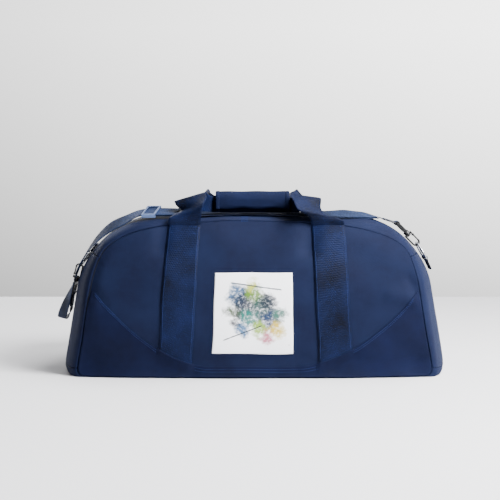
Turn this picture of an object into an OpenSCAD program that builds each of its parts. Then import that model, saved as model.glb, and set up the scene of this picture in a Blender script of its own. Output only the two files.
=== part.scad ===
// Domed sports equipment bag: sewn fabric shell with a zip, wrapped carry handles and a
// clip-on shoulder strap. X runs along the bag, Y from front to back, Z up.
// The origin is the middle of the flat base.

/* [Bag body] */
// Length over the two ends
bag_length = 602; // [520:1:720]
// Height of the zip line above the base
bag_height = 245; // [225:1:300]
// Depth at the fullest place of the two panels
bag_depth = 300; // [280:1:380]
// Thickness of the lined and padded fabric
fabric = 1.6; // [1.2:0.1:2.2]
// Gap left between sewn layers
layer_gap = 0.4; // [0.35:0.05:0.6]

/* [Body curves] */
// How far each end leans in between the base and the shoulder
end_lean = 21; // [10:1:32]
// Height taken up by the rounded shoulder
shoulder_drop = 107; // [95:1:120]
// Length taken up by the rounded shoulder
shoulder_run = 151; // [140:1:165]
// How far the panel seams sit below the zip line in the middle
seam_drop = 7; // [4:1:12]
// Extra fall of the panel seams towards the shoulders
crown_fall = 10; // [4:1:14]
// How far the panel seams sit inside the ends at the base
seam_in_base = 22; // [14:1:28]
// How far the panel seams sit inside the ends at the shoulder
seam_in_side = 46; // [38:1:52]
// Height of the panel seams above the base
seam_rise = 4; // [3.5:0.5:8]
// Rounding of the lower corners at the ends
corner_round = 16; // [12:1:22]
// Height of the fullest line of the panels
belly_height = 105; // [80:1:130]
// How far the panels fall back at their top seam
top_fall = 38; // [24:1:44]
// How far the panels fall back at their bottom seam
base_fall = 12; // [6:1:18]
// How far the panels fall back towards the ends
end_fall = 22; // [10:1:30]

/* [Lower panels] */
// Height of the lower panel in the middle
smile_low = 20; // [16:1:34]
// Rise of the lower panel's top seam towards the ends
smile_rise = 114; // [90:1:120]
// Half length of the level middle of that seam
smile_flat = 70; // [40:1:100]

/* [Print] */
// Side of the square print
print_side = 120; // [80:1:135]
// Height of the lower edge of the print
print_low = 40; // [38:1:60]
// Thickness of the print film
print_film = 0.4; // [0.3:0.1:0.8]

/* [Carry handles] */
// Width of the handle webbing
web_width = 50; // [38:1:56]
// Thickness of the handle webbing
web_thick = 1.8; // [1.4:0.1:2.4]
// Distance of a web's middle from the bag's middle at the lower seam
web_out_low = 121; // [114:1:140]
// Distance of a web's middle from the bag's middle at the top seam
web_out_top = 108; // [100:1:125]
// Length of the padded grip wrap
grip_length = 116; // [90:1:130]
// Height of the grip wrap
grip_height = 33; // [31:1:44]
// Depth of the grip wrap from front to back
grip_depth = 23; // [20:1:28]
// How far the grip leans to the front of the zip
grip_forward = 21; // [20:1:26]
// How far the grip sits to the left of the bag's middle
grip_aside = 3; // [0:0.5:6]
// Gap between the grip and the top of the bag
grip_stand = 1; // [1:0.5:8]

/* [Zip] */
// Width of the open gap between the two gusset halves
zip_gap = 14; // [13:1:20]
// Width of one zip tape
tape_width = 16; // [12:1:20]
// Thickness of a zip tape
tape_thick = 0.8; // [0.6:0.1:1]
// Width of one row of the coil
coil_width = 2.85; // [2:0.05:3]
// Height of the coil
coil_height = 2; // [1.5:0.1:2.4]
// Length of a slider
slider_length = 18; // [14:1:24]
// Length of a slider's pull
pull_length = 30; // [20:1:36]

/* [Shoulder strap] */
// Width of the strap webbing
strap_width = 32; // [25:1:34]
// Thickness of the strap webbing
strap_thick = 1.6; // [1.2:0.1:2]
// Thickness of the wire of a D-ring
ring_wire = 3.5; // [3:0.1:4]
// Straight leg of a D-ring beside its bar
ring_leg = 8; // [6:1:12]
// Thickness of a hook from front to back
hook_thick = 6; // [5:0.5:8]
// Height of a hook's loop
hook_height = 13; // [12:0.5:15]
// Radius of the swivel post
post_r = 2.5; // [2:0.1:3]
// Radial running clearance of the posts
run_clear = 0.08; // [0.05:0.01:0.1]
// Length of the adjuster along the strap
adjuster_length = 22; // [18:1:28]

/* [Hidden] */
$fn = 48;
tiny = 0.01;
half_l = bag_length / 2;
half_d = bag_depth / 2;

// Steps round half of the bag's outline, from the top middle to the base middle
n_crown = 4;
n_shoulder = 9;
n_side = 5;
n_corner = 4;
n_base = 8;
k_shoulder = n_crown;
k_side = k_shoulder + n_shoulder;
k_corner = k_side + n_side;
k_base = k_corner + n_corner;
k_end = k_base + n_base;
// The cross seam where the zip's gussets meet the end gussets
k_cross = k_shoulder + 6;

dome_flat = 0.35; // level share of the band across the bag's top and ends
base_flat = 0.88; // level share of the base
knee = 0.4; // share of the steps across that lie on the level part
mid_arms = [50, 65]; // reach of the shoulder curve's arms, up the end and along the top
seam_arms = [55, 70]; // the same for the panel seams
seam_tighter = 4; // how much tighter the panel seams turn at the lower corners

navy = [0.13, 0.18, 0.33];
web_navy = [0.11, 0.16, 0.31];
strap_navy = [0.22, 0.28, 0.45];
black_plastic = [0.04, 0.04, 0.05];
steel = [0.6, 0.61, 0.63];

function clamp(v, lo, hi) = min(max(v, lo), hi);
function smooth(v) = let (t = clamp(v, 0, 1)) t * t * (3 - 2 * t);
function bezier(a, b, c, d, u) = a * pow(1 - u, 3) + b * 3 * u * pow(1 - u, 2)
    + c * 3 * u * u * (1 - u) + d * pow(u, 3);
function unit(v) = v / norm(v);

// Half outlines in the XZ plane, sunk by d below the outer face
function half_outline(x_base, x_side, z_base, round_r, z_top, z_arm, x_arm, up, out) =
    let (z_side = bag_height - shoulder_drop,
        low = [x_base, z_base + round_r],
        side = [x_side, z_side],
        arm = [x_arm, z_arm],
        level = x_arm / n_crown,
        slope = 2 * (z_top - z_arm) / (x_arm - level),
        p1 = side + unit(side - low) * up,
        p2 = arm + [out, -out * slope])
    concat(
        [for (i = [0:n_crown]) let (x = level * i, t = max(0, (x - level) / (x_arm - level)))
            [x, z_top - (z_top - z_arm) * t * t]],
        [for (i = [1:n_shoulder]) bezier(arm, p2, p1, side, i / n_shoulder)],
        [for (i = [1:n_side]) side + (low - side) * i / n_side],
        [for (i = [1:n_corner]) let (a = 90 * i / n_corner)
            low + [round_r * (cos(a) - 1), -round_r * sin(a)]],
        [for (i = [1:n_base]) [(x_base - round_r) * (1 - i / n_base), z_base]]);
function mid_outline(d) = half_outline(half_l - d, half_l - end_lean - d, d, corner_round - d,
    bag_height - d, bag_height - d, half_l - shoulder_run, mid_arms[0], mid_arms[1]);
function seam_outline(d) = half_outline(half_l - seam_in_base - d, half_l - seam_in_side - d,
    seam_rise + d, corner_round - seam_tighter - d, bag_height - seam_drop - d,
    bag_height - seam_drop - crown_fall - d, half_l - shoulder_run, seam_arms[0], seam_arms[1]);

// A place lifted off the outline, k steps from its top middle, and the outline's direction there
function over_outline(k, lift) = let (m = mid_outline(0), i = floor(k), t = unit(m[i + 1] - m[i]))
    m[i] + (m[i + 1] - m[i]) * (k - i) + [-t[1], t[0]] * lift;
function along_outline(k) = let (m = mid_outline(0)) unit(m[k + 1] - m[k]);

// Half depth of the bag at a place on the front or back panel
function panel_y(x, z) = half_d
    - (z > belly_height
        ? top_fall * pow((z - belly_height) / (bag_height - belly_height), 2.2)
        : base_fall * pow((belly_height - z) / belly_height, 2.2))
    - end_fall * pow(abs(x) / half_l, 2.5);

// A place on the band that runs round the bag: k round the outline, j from -1 to 1 across
function flat_share(k) = k <= k_corner ? dome_flat
    : dome_flat + (base_flat - dome_flat) * clamp((k - k_corner) / n_corner, 0, 1);
function across(j, f) = abs(j) <= knee ? [f * j / knee, 1]
    : let (a = 90 * (abs(j) - knee) / (1 - knee)) [sign(j) * (f + (1 - f) * sin(a)), cos(a)];
function band(mid, seam, k, j, d) =
    let (s = seam[abs(k)], m = mid[abs(k)], f = flat_share(abs(k)), w = across(j, f),
        p = s + (m - s) * w[1], y = (panel_y(s[0], s[1]) - d) * w[0])
    [k < 0 ? -p[0] : p[0], y, p[1]];
// The step across at which the level part of the band is y from the middle
function level_j(k, y) = let (s = seam_outline(0)[abs(k)])
    knee * y / (dome_flat * panel_y(s[0], s[1]));

// A closed sheet between two grids of points with the same rows and columns
module slab(outer, inner) {
    rows = len(outer);
    cols = len(outer[0]);
    n = rows * cols;
    r = floor(rows / 2) - 1;
    c = floor(cols / 2) - 1;
    normal = cross(outer[r][c + 1] - outer[r][c], outer[r + 1][c] - outer[r][c]);
    turned = normal * (outer[r][c] - inner[r][c]) > 0;
    top = [for (i = [0:rows - 2]) for (j = [0:cols - 2]) let (a = i * cols + j)
        each [[a, a + 1, a + cols + 1], [a, a + cols + 1, a + cols]]];
    low = [for (t = top) [t[0] + n, t[2] + n, t[1] + n]];
    rim = concat([for (j = [0:cols - 1]) j], [for (i = [1:rows - 1]) i * cols + cols - 1],
        [for (j = [cols - 2:-1:0]) (rows - 1) * cols + j], [for (i = [rows - 2:-1:1]) i * cols]);
    m = len(rim);
    side = [for (i = [0:m - 1]) let (a = rim[i], b = rim[(i + 1) % m])
        each [[b, a, a + n], [b, a + n, b + n]]];
    faces = concat(top, low, side);
    polyhedron(points = concat([for (row = outer) each row], [for (row = inner) each row]),
        faces = turned ? [for (t = faces) [t[0], t[2], t[1]]] : faces);
}

// A strip of the band between two depths, with the steps across given for each k
module band_strip(ks, js, d_out, d_in) {
    mo = mid_outline(d_out);
    so = seam_outline(d_out);
    mi = mid_outline(d_in);
    si = seam_outline(d_in);
    slab([for (k = ks) [for (j = js(k)) band(mo, so, k, j, d_out)]],
        [for (k = ks) [for (j = js(k)) band(mi, si, k, j, d_in)]]);
}

module to_back() {
    mirror([0, 1, 0]) children();
}
module to_left() {
    mirror([1, 0, 0]) children();
}

// Front and back panels
panel_cols = 12;
function on_front(x, z, d) = [x, -(panel_y(x, z) - d), z];
module panel_shell() {
    so = seam_outline(0);
    si = seam_outline(fabric);
    slab([for (k = [1:k_base]) [for (i = [-panel_cols:panel_cols])
            on_front(so[k][0] * i / panel_cols, so[k][1], 0)]],
        [for (k = [1:k_base]) [for (i = [-panel_cols:panel_cols])
            on_front(si[k][0] * i / panel_cols, si[k][1], fabric)]]);
}

function smile_z(x) = smile_low
    + smile_rise * pow(max(0, (abs(x) - smile_flat) / (half_l - seam_in_side - 3 - smile_flat)), 1.8);
lower_rows = 8;
lower_margin = 2;
module lower_panel() {
    s = seam_outline(lower_margin);
    tip_x = half_l - seam_in_side - 3;
    right = [for (k = [k_end:-1:k_side + 1]) s[k]];
    run = [for (i = 0, l = 0; i < len(right); l = l + (i + 1 < len(right)
        ? norm(right[i + 1] - right[i]) : 0), i = i + 1) l];
    full = run[len(run) - 1];
    tops = [for (l = run) let (x = tip_x * l / full) [x, smile_z(x)]];
    low_pts = concat([for (i = [len(right) - 1:-1:1]) [-right[i][0], right[i][1]]], right);
    top_pts = concat([for (i = [len(tops) - 1:-1:1]) [-tops[i][0], tops[i][1]]], tops);
    function at(i, r) = top_pts[i] + (low_pts[i] - top_pts[i]) * r / lower_rows;
    slab([for (r = [0:lower_rows]) [for (i = [0:len(low_pts) - 1]) let (p = at(i, r))
            on_front(p[0], p[1], -layer_gap - fabric)]],
        [for (r = [0:lower_rows]) [for (i = [0:len(low_pts) - 1]) let (p = at(i, r))
            on_front(p[0], p[1], -layer_gap)]]);
}
module front_panel() color(navy) panel_shell();
module back_panel() color(navy) to_back() panel_shell();
module front_lower_panel() color(navy) lower_panel();
module back_lower_panel() color(navy) to_back() lower_panel();

// Base
module bottom_panel() {
    steps = n_base + n_corner;
    mo = mid_outline(0);
    so = seam_outline(0);
    mi = mid_outline(fabric);
    si = seam_outline(fabric);
    js = [-1, -0.9, -0.8, -0.7, -0.6, -0.5, -knee, 0, knee, 0.5, 0.6, 0.7, 0.8, 0.9, 1];
    function base_k(m) = m < 0 ? -(k_end + m) : k_end - m;
    color(navy) slab(
        [for (m = [-steps:steps]) [for (j = js) band(mo, so, base_k(m), j, 0)]],
        [for (m = [-steps:steps]) [for (j = js) band(mi, si, base_k(m), j, fabric)]]);
}
board_thick = 2.5;
board_inset = 24;
board_round = 18;
module base_board() {
    w = bag_length - 2 * board_inset;
    h = 2 * (base_flat * (half_d - base_fall - end_fall) - 2);
    r = board_round;
    color([0.1, 0.1, 0.11]) translate([0, 0, fabric + layer_gap]) linear_extrude(board_thick) union() {
        square([w - 2 * r, h], center = true);
        square([w, h - 2 * r], center = true);
        for (x = [-1, 1], y = [-1, 1]) translate([x * (w / 2 - r), y * (h / 2 - r)]) circle(r);
    }
}

// Gussets
edge_js = [-1, -0.9, -0.8, -0.7, -0.6, -0.5, -knee];
module top_gusset() {
    color(navy) band_strip([-k_cross:k_cross],
        function (k) concat(edge_js, [-level_j(k, zip_gap / 2)]), 0, fabric);
}
module top_gusset_front() top_gusset();
module top_gusset_back() to_back() top_gusset();
module end_gusset() {
    color(navy) band_strip([k_cross:k_base - n_corner],
        function (k) concat(edge_js, [0], [for (i = [len(edge_js) - 1:-1:0]) -edge_js[i]]), 0, fabric);
}
module end_gusset_right() end_gusset();
module end_gusset_left() to_left() end_gusset();
binding_thick = 1;
binding_js = [-0.86, -0.78, -0.7];
module seam_binding() {
    color(black_plastic) band_strip([-k_side:k_side], function (k) binding_js,
        fabric + layer_gap, fabric + layer_gap + binding_thick);
}
module seam_binding_front() seam_binding();
module seam_binding_back() to_back() seam_binding();

// Zip
k_zip = k_cross - 1;
tape_gap = 0.2; // from the bag's middle to each tape
coil_gap = 0.15; // from the bag's middle to each coil
module zip_tape() {
    color([0.1, 0.13, 0.24]) band_strip([-k_zip:k_zip],
        function (k) [-level_j(k, tape_gap + tape_width), -level_j(k, tape_gap)],
        fabric, fabric + tape_thick);
}
module zip_coil() {
    color([0.16, 0.2, 0.34]) band_strip([-k_zip:k_zip],
        function (k) [-level_j(k, coil_gap + coil_width), -level_j(k, coil_gap)],
        fabric - coil_height, fabric);
}
module zip_tape_front() zip_tape();
module zip_tape_back() to_back() zip_tape();
module zip_coil_front() zip_coil();
module zip_coil_back() to_back() zip_coil();
coil_top = bag_height - fabric + coil_height;
stop_size = [3, 6.4, 2.2];
stop_gap = 0.4;
module zip_end_stops() {
    m = mid_outline(fabric);
    p = m[k_zip];
    q = m[k_zip + 1];
    dir = unit(q - p);
    for (s = [-1, 1]) color(steel) translate([s * p[0], 0, p[1]])
        rotate([0, s * atan2(-dir[1], dir[0]), 0]) 
            translate([s > 0 ? stop_gap : -stop_gap - stop_size[0], -stop_size[1] / 2, 0]) cube(stop_size);
}
slider_lift = 0.35;
slider_top = 2.4;
slider_x = slider_length / 2 + 2;
pull_axis = coil_top + slider_lift + slider_top + 2;
slider_wall = 1.6;
slider_play = 0.4; // between the coil and the slider's sides
bridge = [7, 2.8, 4.6];
pull_wire = 0.9;
pull_droop = 6;
module slider() {
    half_w = coil_gap + coil_width + slider_play;
    wall = slider_wall;
    color(steel) translate([slider_x, 0, 0]) difference() {
        union() {
            translate([-slider_length / 2, -half_w - wall, coil_top + slider_lift])
                cube([slider_length, 2 * (half_w + wall), slider_top]);
            for (s = [-1, 1]) translate([-slider_length / 2, s > 0 ? half_w : -half_w - wall,
                coil_top - coil_height + slider_lift]) cube([slider_length, wall, coil_height + tiny]);
            translate([-bridge[0] / 2, -bridge[1] / 2, coil_top + slider_lift + slider_top - tiny])
                cube(bridge);
        }
        translate([0, 0, pull_axis]) rotate([90, 0, 0])
            cylinder(r = pull_wire + run_clear, h = 10, center = true);
    }
}
// The pull turns on a cross wire through the slider's bridge
pull_plate = 8; // from the wire to the pull's plate
pull_wide = 7.2;
pull_hole = 1.8;
hole_inset = 5;
module pull() {
    arm = 1.1;
    gap = 1.8;
    color(steel) translate([slider_x, 0, pull_axis]) rotate([0, pull_droop, 0]) union() {
        rotate([90, 0, 0]) cylinder(r = pull_wire, h = 2 * (gap + arm) - 0.2, center = true);
        for (s = [-1, 1]) translate([-pull_wire, s > 0 ? gap : -gap - arm, -pull_wire])
            cube([pull_plate + 2, arm, 2 * pull_wire]);
        difference() {
            translate([pull_plate, -pull_wide / 2, -pull_wire])
                cube([pull_length - pull_plate, pull_wide, 2 * pull_wire]);
            translate([pull_length - hole_inset, 0, 0]) cylinder(r = pull_hole, h = 10, center = true);
        }
    }
}
module zip_slider_right() slider();
module zip_slider_left() to_left() slider();
module zip_pull_right() pull();
module zip_pull_left() to_left() pull();

// Print film on the front
module print_square() {
    n = 6;
    function grid(d) = [for (r = [0:n]) [for (c = [0:n])
        on_front(print_side * (c / n - 0.5), print_low + print_side * r / n, d)]];
    color([0.85, 0.87, 0.9]) slab(grid(-layer_gap - print_film), grid(-layer_gap));
}

// Webs sewn to the panels, from the lower panel's seam to the top seam
web_top_z = bag_height - seam_drop - 6;
web_seam_gap = 1.6; // between a web's lower end and the lower panel
module sewn_web() {
    rows = 14;
    cols = 4;
    function x_at(u, c) = web_out_low + (web_out_top - web_out_low) * u
        + web_width * (c / cols - 0.5);
    function grid(d) = [for (r = [0:rows]) [for (c = [0:cols])
        let (u = r / rows, x = x_at(u, c), z0 = smile_z(x) + web_seam_gap, z = z0 + (web_top_z - z0) * u)
        on_front(x, z, d)]];
    color(web_navy) slab(grid(-layer_gap - web_thick), grid(-layer_gap));
}
module front_web_right() sewn_web();
module front_web_left() to_left() sewn_web();
module back_web_right() to_back() sewn_web();
module back_web_left() to_left() to_back() sewn_web();

// Free handle loops: each rises from the top seams, turns on edge and runs through the grip.
// Places chosen by hand, from a web's top to the grip: the shares of the way in x, y and z,
// the direction of the width, and how far the webbing has folded double.
grip_z = bag_height + grip_stand + grip_height / 2;
folded_half = web_width / 4 + 0.5;
folded_thick = 2 * web_thick;
loop_spans = 3; // steps between two places
loop_rise = 2.5; // from a sewn web's top to the free loop
entry = 4; // from the first place on edge to the grip
front_left = [[0, 0, 0, [1, 0, 0], 0], [0, -0.02, 0.22, [1, 0, 0], 0],
    [0.12, -0.03, 0.48, [0.86, -0.45, 0.1], 0], [0.3, 0.02, 0.84, [0.68, -0.68, 0.2], 0],
    [0.21, 0.2, 1.38, [0.94, 0, 0.3], 0], [0.3, 0.41, 1.36, [0.86, 0.2, 0.4], 0.08],
    [0.49, 0.62, 1.22, [0.6, 0.2, 0.7], 0.4], [0.74, 0.84, 1.05, [0.3, 0.1, 0.95], 0.85],
    [1, 1, 1, [0, 0, 1], 1]];
front_right = [[0, 0, 0, [-1, 0, 0], 0], [0, -0.03, 0.2, [-1, 0, 0], 0],
    [0.12, -0.05, 0.34, [-0.96, -0.1, 0.12], 0], [0.31, -0.06, 0.66, [-0.86, -0.35, 0.2], 0],
    [0.43, 0.05, 1.05, [-0.84, -0.3, 0.3], 0], [0.45, 0.23, 1.4, [-0.92, 0.05, 0.2], 0.25],
    [0.51, 0.43, 1.33, [-0.78, 0.15, 0.5], 0.4], [0.63, 0.65, 1.19, [-0.5, 0.2, 0.8], 0.65],
    [0.8, 0.86, 1.05, [-0.25, 0.1, 0.95], 0.9], [1, 1, 1, [0, 0, 1], 1]];
back_left = [[0, 0, 0, [1, 0, 0], 0], [0, -0.015, 0.25, [1, 0, 0], 0],
    [0.05, -0.02, 0.52, [1, 0, 0.05], 0], [0.12, 0.03, 0.91, [0.97, 0, 0.12], 0],
    [0.2, 0.16, 1.22, [0.95, 0, 0.3], 0], [0.27, 0.33, 1.35, [0.9, 0, 0.42], 0.1],
    [0.4, 0.53, 1.32, [0.75, 0, 0.65], 0.35], [0.58, 0.73, 1.27, [0.45, 0, 0.9], 0.7],
    [0.78, 0.89, 1.18, [0.2, 0, 0.98], 0.95], [1, 1, 1, [0, 0, 1], 1]];
back_right = [[0, 0, 0, [-1, 0, 0], 0], [0, -0.02, 0.22, [-1, 0, 0], 0],
    [0.1, -0.03, 0.42, [-0.97, -0.05, 0.08], 0], [0.33, 0, 0.74, [-0.9, -0.2, 0.25], 0],
    [0.41, 0.12, 1.04, [-0.92, 0, 0.3], 0], [0.45, 0.28, 1.22, [-0.88, 0.1, 0.45], 0.1],
    [0.49, 0.5, 1.28, [-0.72, 0, 0.68], 0.35], [0.65, 0.73, 1.26, [-0.45, 0, 0.9], 0.7],
    [0.86, 0.89, 1.18, [-0.2, 0, 0.98], 0.95], [1, 1, 1, [0, 0, 1], 1]];
function catmull(a, b, c, d, u) = (2 * b + (c - a) * u + (2 * a - 5 * b + 4 * c - d) * u * u
    + (3 * b - a - 3 * c + d) * u * u * u) / 2;
function between(rows, i, u, col) = let (m = len(rows) - 1)
    catmull(rows[max(i - 1, 0)][col], rows[i][col], rows[min(i + 1, m)][col], rows[min(i + 2, m)][col], u);
// A place on one side of a loop: its middle, width direction and fold
function loop_place(places, side, face, y_grip, i, u) =
    let (y0 = face * (panel_y(web_out_top, web_top_z) + layer_gap + web_thick / 2),
        a = [side * web_out_top, y0, web_top_z + loop_rise],
        d = [side * (grip_length / 2 + entry) - grip_aside, y_grip, grip_z],
        way = [for (col = [0:2]) between(places, i, u, col)])
    [[for (axis = [0:2]) a[axis] + (d[axis] - a[axis]) * way[axis]],
        unit(between(places, i, u, 3)), clamp(between(places, i, u, 4), 0, 1)];
function loop_side(places, side, face, y_grip) = [for (i = [0:len(places) - 2])
    for (step = [0:i == len(places) - 2 ? loop_spans : loop_spans - 1])
        loop_place(places, side, face, y_grip, i, step / loop_spans)];
function reversed(rows) = [for (i = [len(rows) - 1:-1:0]) rows[i]];
module handle_loop(left, right, face, y_grip) {
    path = concat(loop_side(left, -1, face, y_grip), reversed(loop_side(right, 1, face, y_grip)));
    m = len(path);
    function tangent(i) = unit(path[min(i + 1, m - 1)][0] - path[max(i - 1, 0)][0]);
    function row(i, side) = let (w = path[i][1], nrm = unit(cross(w, tangent(i))), fold = path[i][2],
            half = web_width / 2 + (folded_half - web_width / 2) * fold,
            thick = web_thick + (folded_thick - web_thick) * fold)
        [for (s = [-1, 0, 1]) path[i][0] + w * s * half + nrm * side * thick / 2];
    color(web_navy) slab([for (i = [0:m - 1]) row(i, 1)], [for (i = [0:m - 1]) row(i, -1)]);
}
web_pair = folded_thick / 2 + 0.6;
module handle_loop_front() handle_loop(front_left, front_right, -1, -grip_forward - web_pair);
module handle_loop_back() handle_loop(back_left, back_right, 1, -grip_forward + web_pair);

// Grip wrap: a padded sleeve round both webs, with a flap that closes over its front
tape = 0.8;
tape_high = grip_height * 0.4;
tape_low = grip_height * 0.19;
tape_inset = grip_length * 0.05;
flap_thick = 2.4;
flap_low = 8;
module round_rect(w, h, r) {
    square([w - 2 * r, h], center = true);
    square([w, h - 2 * r], center = true);
    for (x = [-1, 1], y = [-1, 1]) translate([x * (w / 2 - r), y * (h / 2 - r)]) circle(r);
}
// Draws a YZ profile along the grip
module along_grip(length) {
    translate([-grip_aside, -grip_forward, grip_z]) rotate([90, 0, 90])
        linear_extrude(length, center = true) children();
}
cavity_w = 2 * (web_pair + folded_thick / 2) + 0.8;
cavity_h = 2 * folded_half + 0.8;
module grip_pad() {
    color([0.14, 0.18, 0.32]) along_grip(grip_length) difference() {
        round_rect(grip_depth, grip_height, 8);
        round_rect(cavity_w, cavity_h, 1);
    }
}
module grip_loop_tape() {
    color(black_plastic) along_grip(grip_length - 2 * tape_inset)
        translate([-grip_depth / 2 - tape - 0.02, -tape_low]) square([tape, tape_high]);
}
module grip_hook_tape() {
    color(black_plastic) along_grip(grip_length - 2 * tape_inset)
        translate([-grip_depth / 2 - 2 * tape - 0.4, -tape_low]) square([tape, tape_high]);
}
module grip_flap() {
    skin = 2 * tape + 0.5;
    color([0.17, 0.22, 0.38]) along_grip(grip_length) intersection() {
        difference() {
            round_rect(grip_depth + 2 * (skin + flap_thick), grip_height + 2 * (0.4 + flap_thick), 9);
            round_rect(grip_depth + 2 * skin, grip_height + 0.8, 8);
        }
        translate([-grip_depth, flap_low - grip_height / 2]) square([grip_depth, grip_height]);
    }
}

// Ring, hook and strap end, set out along the chain from the tab's bar.
// side -1 hangs down the left end, side 1 lies up the right shoulder.
ring_r = strap_width / 2 + 1 + ring_wire / 2;
ring_reach = ring_leg + ring_r;
// Each clip's bar, ring top, eye and strap end: steps along the outline, and lift off it
clip_right = [[10.78, 5.3], [9.48, 8.3], [7.46, 11.2], [6.5, 6.7]];
clip_left = [[10.52, 5.3], [11.88, 9.4], [13.9, 10.5], [14.78, 9.4]];
function clip_place(side, i) = let (c = side > 0 ? clip_right[i] : clip_left[i])
    let (p = over_outline(c[0], c[1])) [side * p[0], p[1]];
function bar_at(side) = clip_place(side, 0);
function ring_dir(side) = unit(clip_place(side, 1) - bar_at(side));
function hook_dir(side) = unit(clip_place(side, 2) - apex_at(side));
function tail_dir(side) = unit(clip_place(side, 3) - eye_at(side));
clip_in = 105; // from the bag's front to the right clip's middle
function clip_y(side) = side > 0 ? clip_in - half_d : 0;
function apex_at(side) = bar_at(side) + ring_dir(side) * ring_reach;
eye_bar = 44;
function eye_at(side) = apex_at(side) + hook_dir(side) * eye_bar;
module at_dir(side, p, dir) {
    translate([p[0], clip_y(side), p[1]]) rotate([0, atan2(-dir[1], dir[0]), 0])
        rotate([180, 0, 0]) children();
}
module xz_plate(thick) {
    rotate([90, 0, 0]) linear_extrude(thick, center = true) children();
}
module d_ring(side) {
    w = ring_wire / 2;
    color(steel) at_dir(side, bar_at(side), ring_dir(side)) union() {
        rotate([90, 0, 0]) cylinder(r = w, h = 2 * ring_r, center = true);
        for (s = [-1, 1]) translate([0, s * ring_r, 0]) {
            sphere(w);
            rotate([0, 90, 0]) cylinder(r = w, h = ring_leg);
        }
        translate([ring_leg, 0, 0]) rotate([0, 0, -90]) rotate_extrude(angle = 180)
            translate([ring_r, 0]) circle(w);
    }
}
tab_thick = 1.6;
tab_clear = 0.3;
tab_tail = 20;
function tab_dir(side) = side > 0 ? along_outline(k_shoulder + 7)
    : let (t = along_outline(k_shoulder + 5)) [t[0], -t[1]];
module ring_tab(side) {
    w = strap_width - 4;
    r = ring_wire / 2 + tab_clear;
    color(web_navy) at_dir(side, bar_at(side), -tab_dir(side)) difference() {
        union() {
            rotate([90, 0, 0]) cylinder(r = r + tab_thick, h = w, center = true);
            translate([-tab_tail, -w / 2, -r - tab_thick]) cube([tab_tail, w, 2 * tab_thick]);
        }
        rotate([90, 0, 0]) cylinder(r = r, h = w + 2, center = true);
    }
}
hook_wall = 2.6;
hook_nose = ring_wire / 2 + 0.5 + hook_wall;
hook_long = 20;
barrel_r = 4.4;
barrel_end = 25;
gate_x = 13.2;
gate_free = 2;
module hook_body(side) {
    inner = hook_height - 2 * hook_wall;
    color(black_plastic) at_dir(side, apex_at(side), hook_dir(side)) difference() {
        union() {
            xz_plate(hook_thick) {
                translate([-hook_nose + hook_height / 2, -hook_height / 2])
                    square([hook_long + hook_nose - hook_height / 2, hook_height]);
                translate([-hook_nose + hook_height / 2, 0]) circle(hook_height / 2);
            }
            translate([hook_long - 1, 0, 0]) rotate([0, 90, 0])
                cylinder(r = barrel_r, h = barrel_end - hook_long + 1);
        }
        xz_plate(hook_thick + 2) {
            translate([-hook_nose + hook_wall + inner / 2, -inner / 2])
                square([hook_long - 3 + hook_nose - hook_wall - inner / 2, inner]);
            translate([-hook_nose + hook_wall + inner / 2, 0]) circle(inner / 2);
            translate([gate_free, 0]) square([gate_x + 2.6 - gate_free, hook_height]);
        }
        translate([hook_long - 4, 0, 0]) rotate([0, 90, 0]) cylinder(r = post_r + run_clear, h = 12);
    }
}
module hook_gate(side) {
    z = hook_height / 2 - hook_wall / 2;
    color([0.09, 0.09, 0.1]) at_dir(side, apex_at(side), hook_dir(side)) xz_plate(hook_thick - 1) {
        translate([gate_free + 0.4, z - hook_wall / 2 + 0.3])
            square([gate_x - gate_free - 0.4, hook_wall - 0.6]);
        translate([gate_x, z]) circle(1.9);
    }
}
eye_wall = 4;
module hook_eye(side) {
    w = strap_width + 1.5;
    color(black_plastic) at_dir(side, apex_at(side), hook_dir(side)) union() {
        translate([hook_long - 4.6, 0, 0]) rotate([0, 90, 0]) cylinder(r = 3.2, h = 1.3);
        translate([hook_long - 3.4, 0, 0]) rotate([0, 90, 0])
            cylinder(r = post_r, h = barrel_end - hook_long + 5);
        translate([barrel_end + 0.4, -w / 2 - eye_wall, -2]) cube([4, w + 2 * eye_wall, 4]);
        for (s = [-1, 1]) translate([barrel_end + 0.4, s > 0 ? w / 2 : -w / 2 - eye_wall, -2])
            cube([eye_bar - barrel_end + 1.6, eye_wall, 4]);
        translate([eye_bar, 0, 0]) rotate([90, 0, 0]) cylinder(r = 2, h = w + 1, center = true);
    }
}
tail_length = 22;
module strap_end(side) {
    r = 2.3;
    color(strap_navy) at_dir(side, eye_at(side), tail_dir(side)) difference() {
        union() {
            rotate([90, 0, 0]) cylinder(r = r + strap_thick, h = strap_width, center = true);
            translate([0, -strap_width / 2, -strap_thick]) cube([tail_length, strap_width, 2 * strap_thick]);
        }
        rotate([90, 0, 0]) cylinder(r = r, h = strap_width + 2, center = true);
    }
}
module ring_tab_left() ring_tab(-1);
module ring_tab_right() ring_tab(1);
module d_ring_left() d_ring(-1);
module d_ring_right() d_ring(1);
module hook_body_left() hook_body(-1);
module hook_body_right() hook_body(1);
module hook_gate_left() hook_gate(-1);
module hook_gate_right() hook_gate(1);
module hook_eye_left() hook_eye(-1);
module hook_eye_right() hook_eye(1);
module strap_end_left() strap_end(-1);
module strap_end_right() strap_end(1);

// Shoulder strap: places chosen by hand along its middle, with the direction of its width.
// Each has its steps along the bag's outline, its lift off it, and y counted in from the front.
function tilted(a) = [0, cos(a), sin(a)];
function twisted(a) = [-sin(a), cos(a), 0];
function place(side, k, lift, y, wide) = let (p = over_outline(k, lift)) [[side * p[0], y, p[1]], wide];
function on_left(k, lift, y, wide) = place(-1, k, lift, y - half_d, wide);
function on_right(k, lift, y, wide) = place(1, k, lift, y - half_d, wide);
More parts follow.
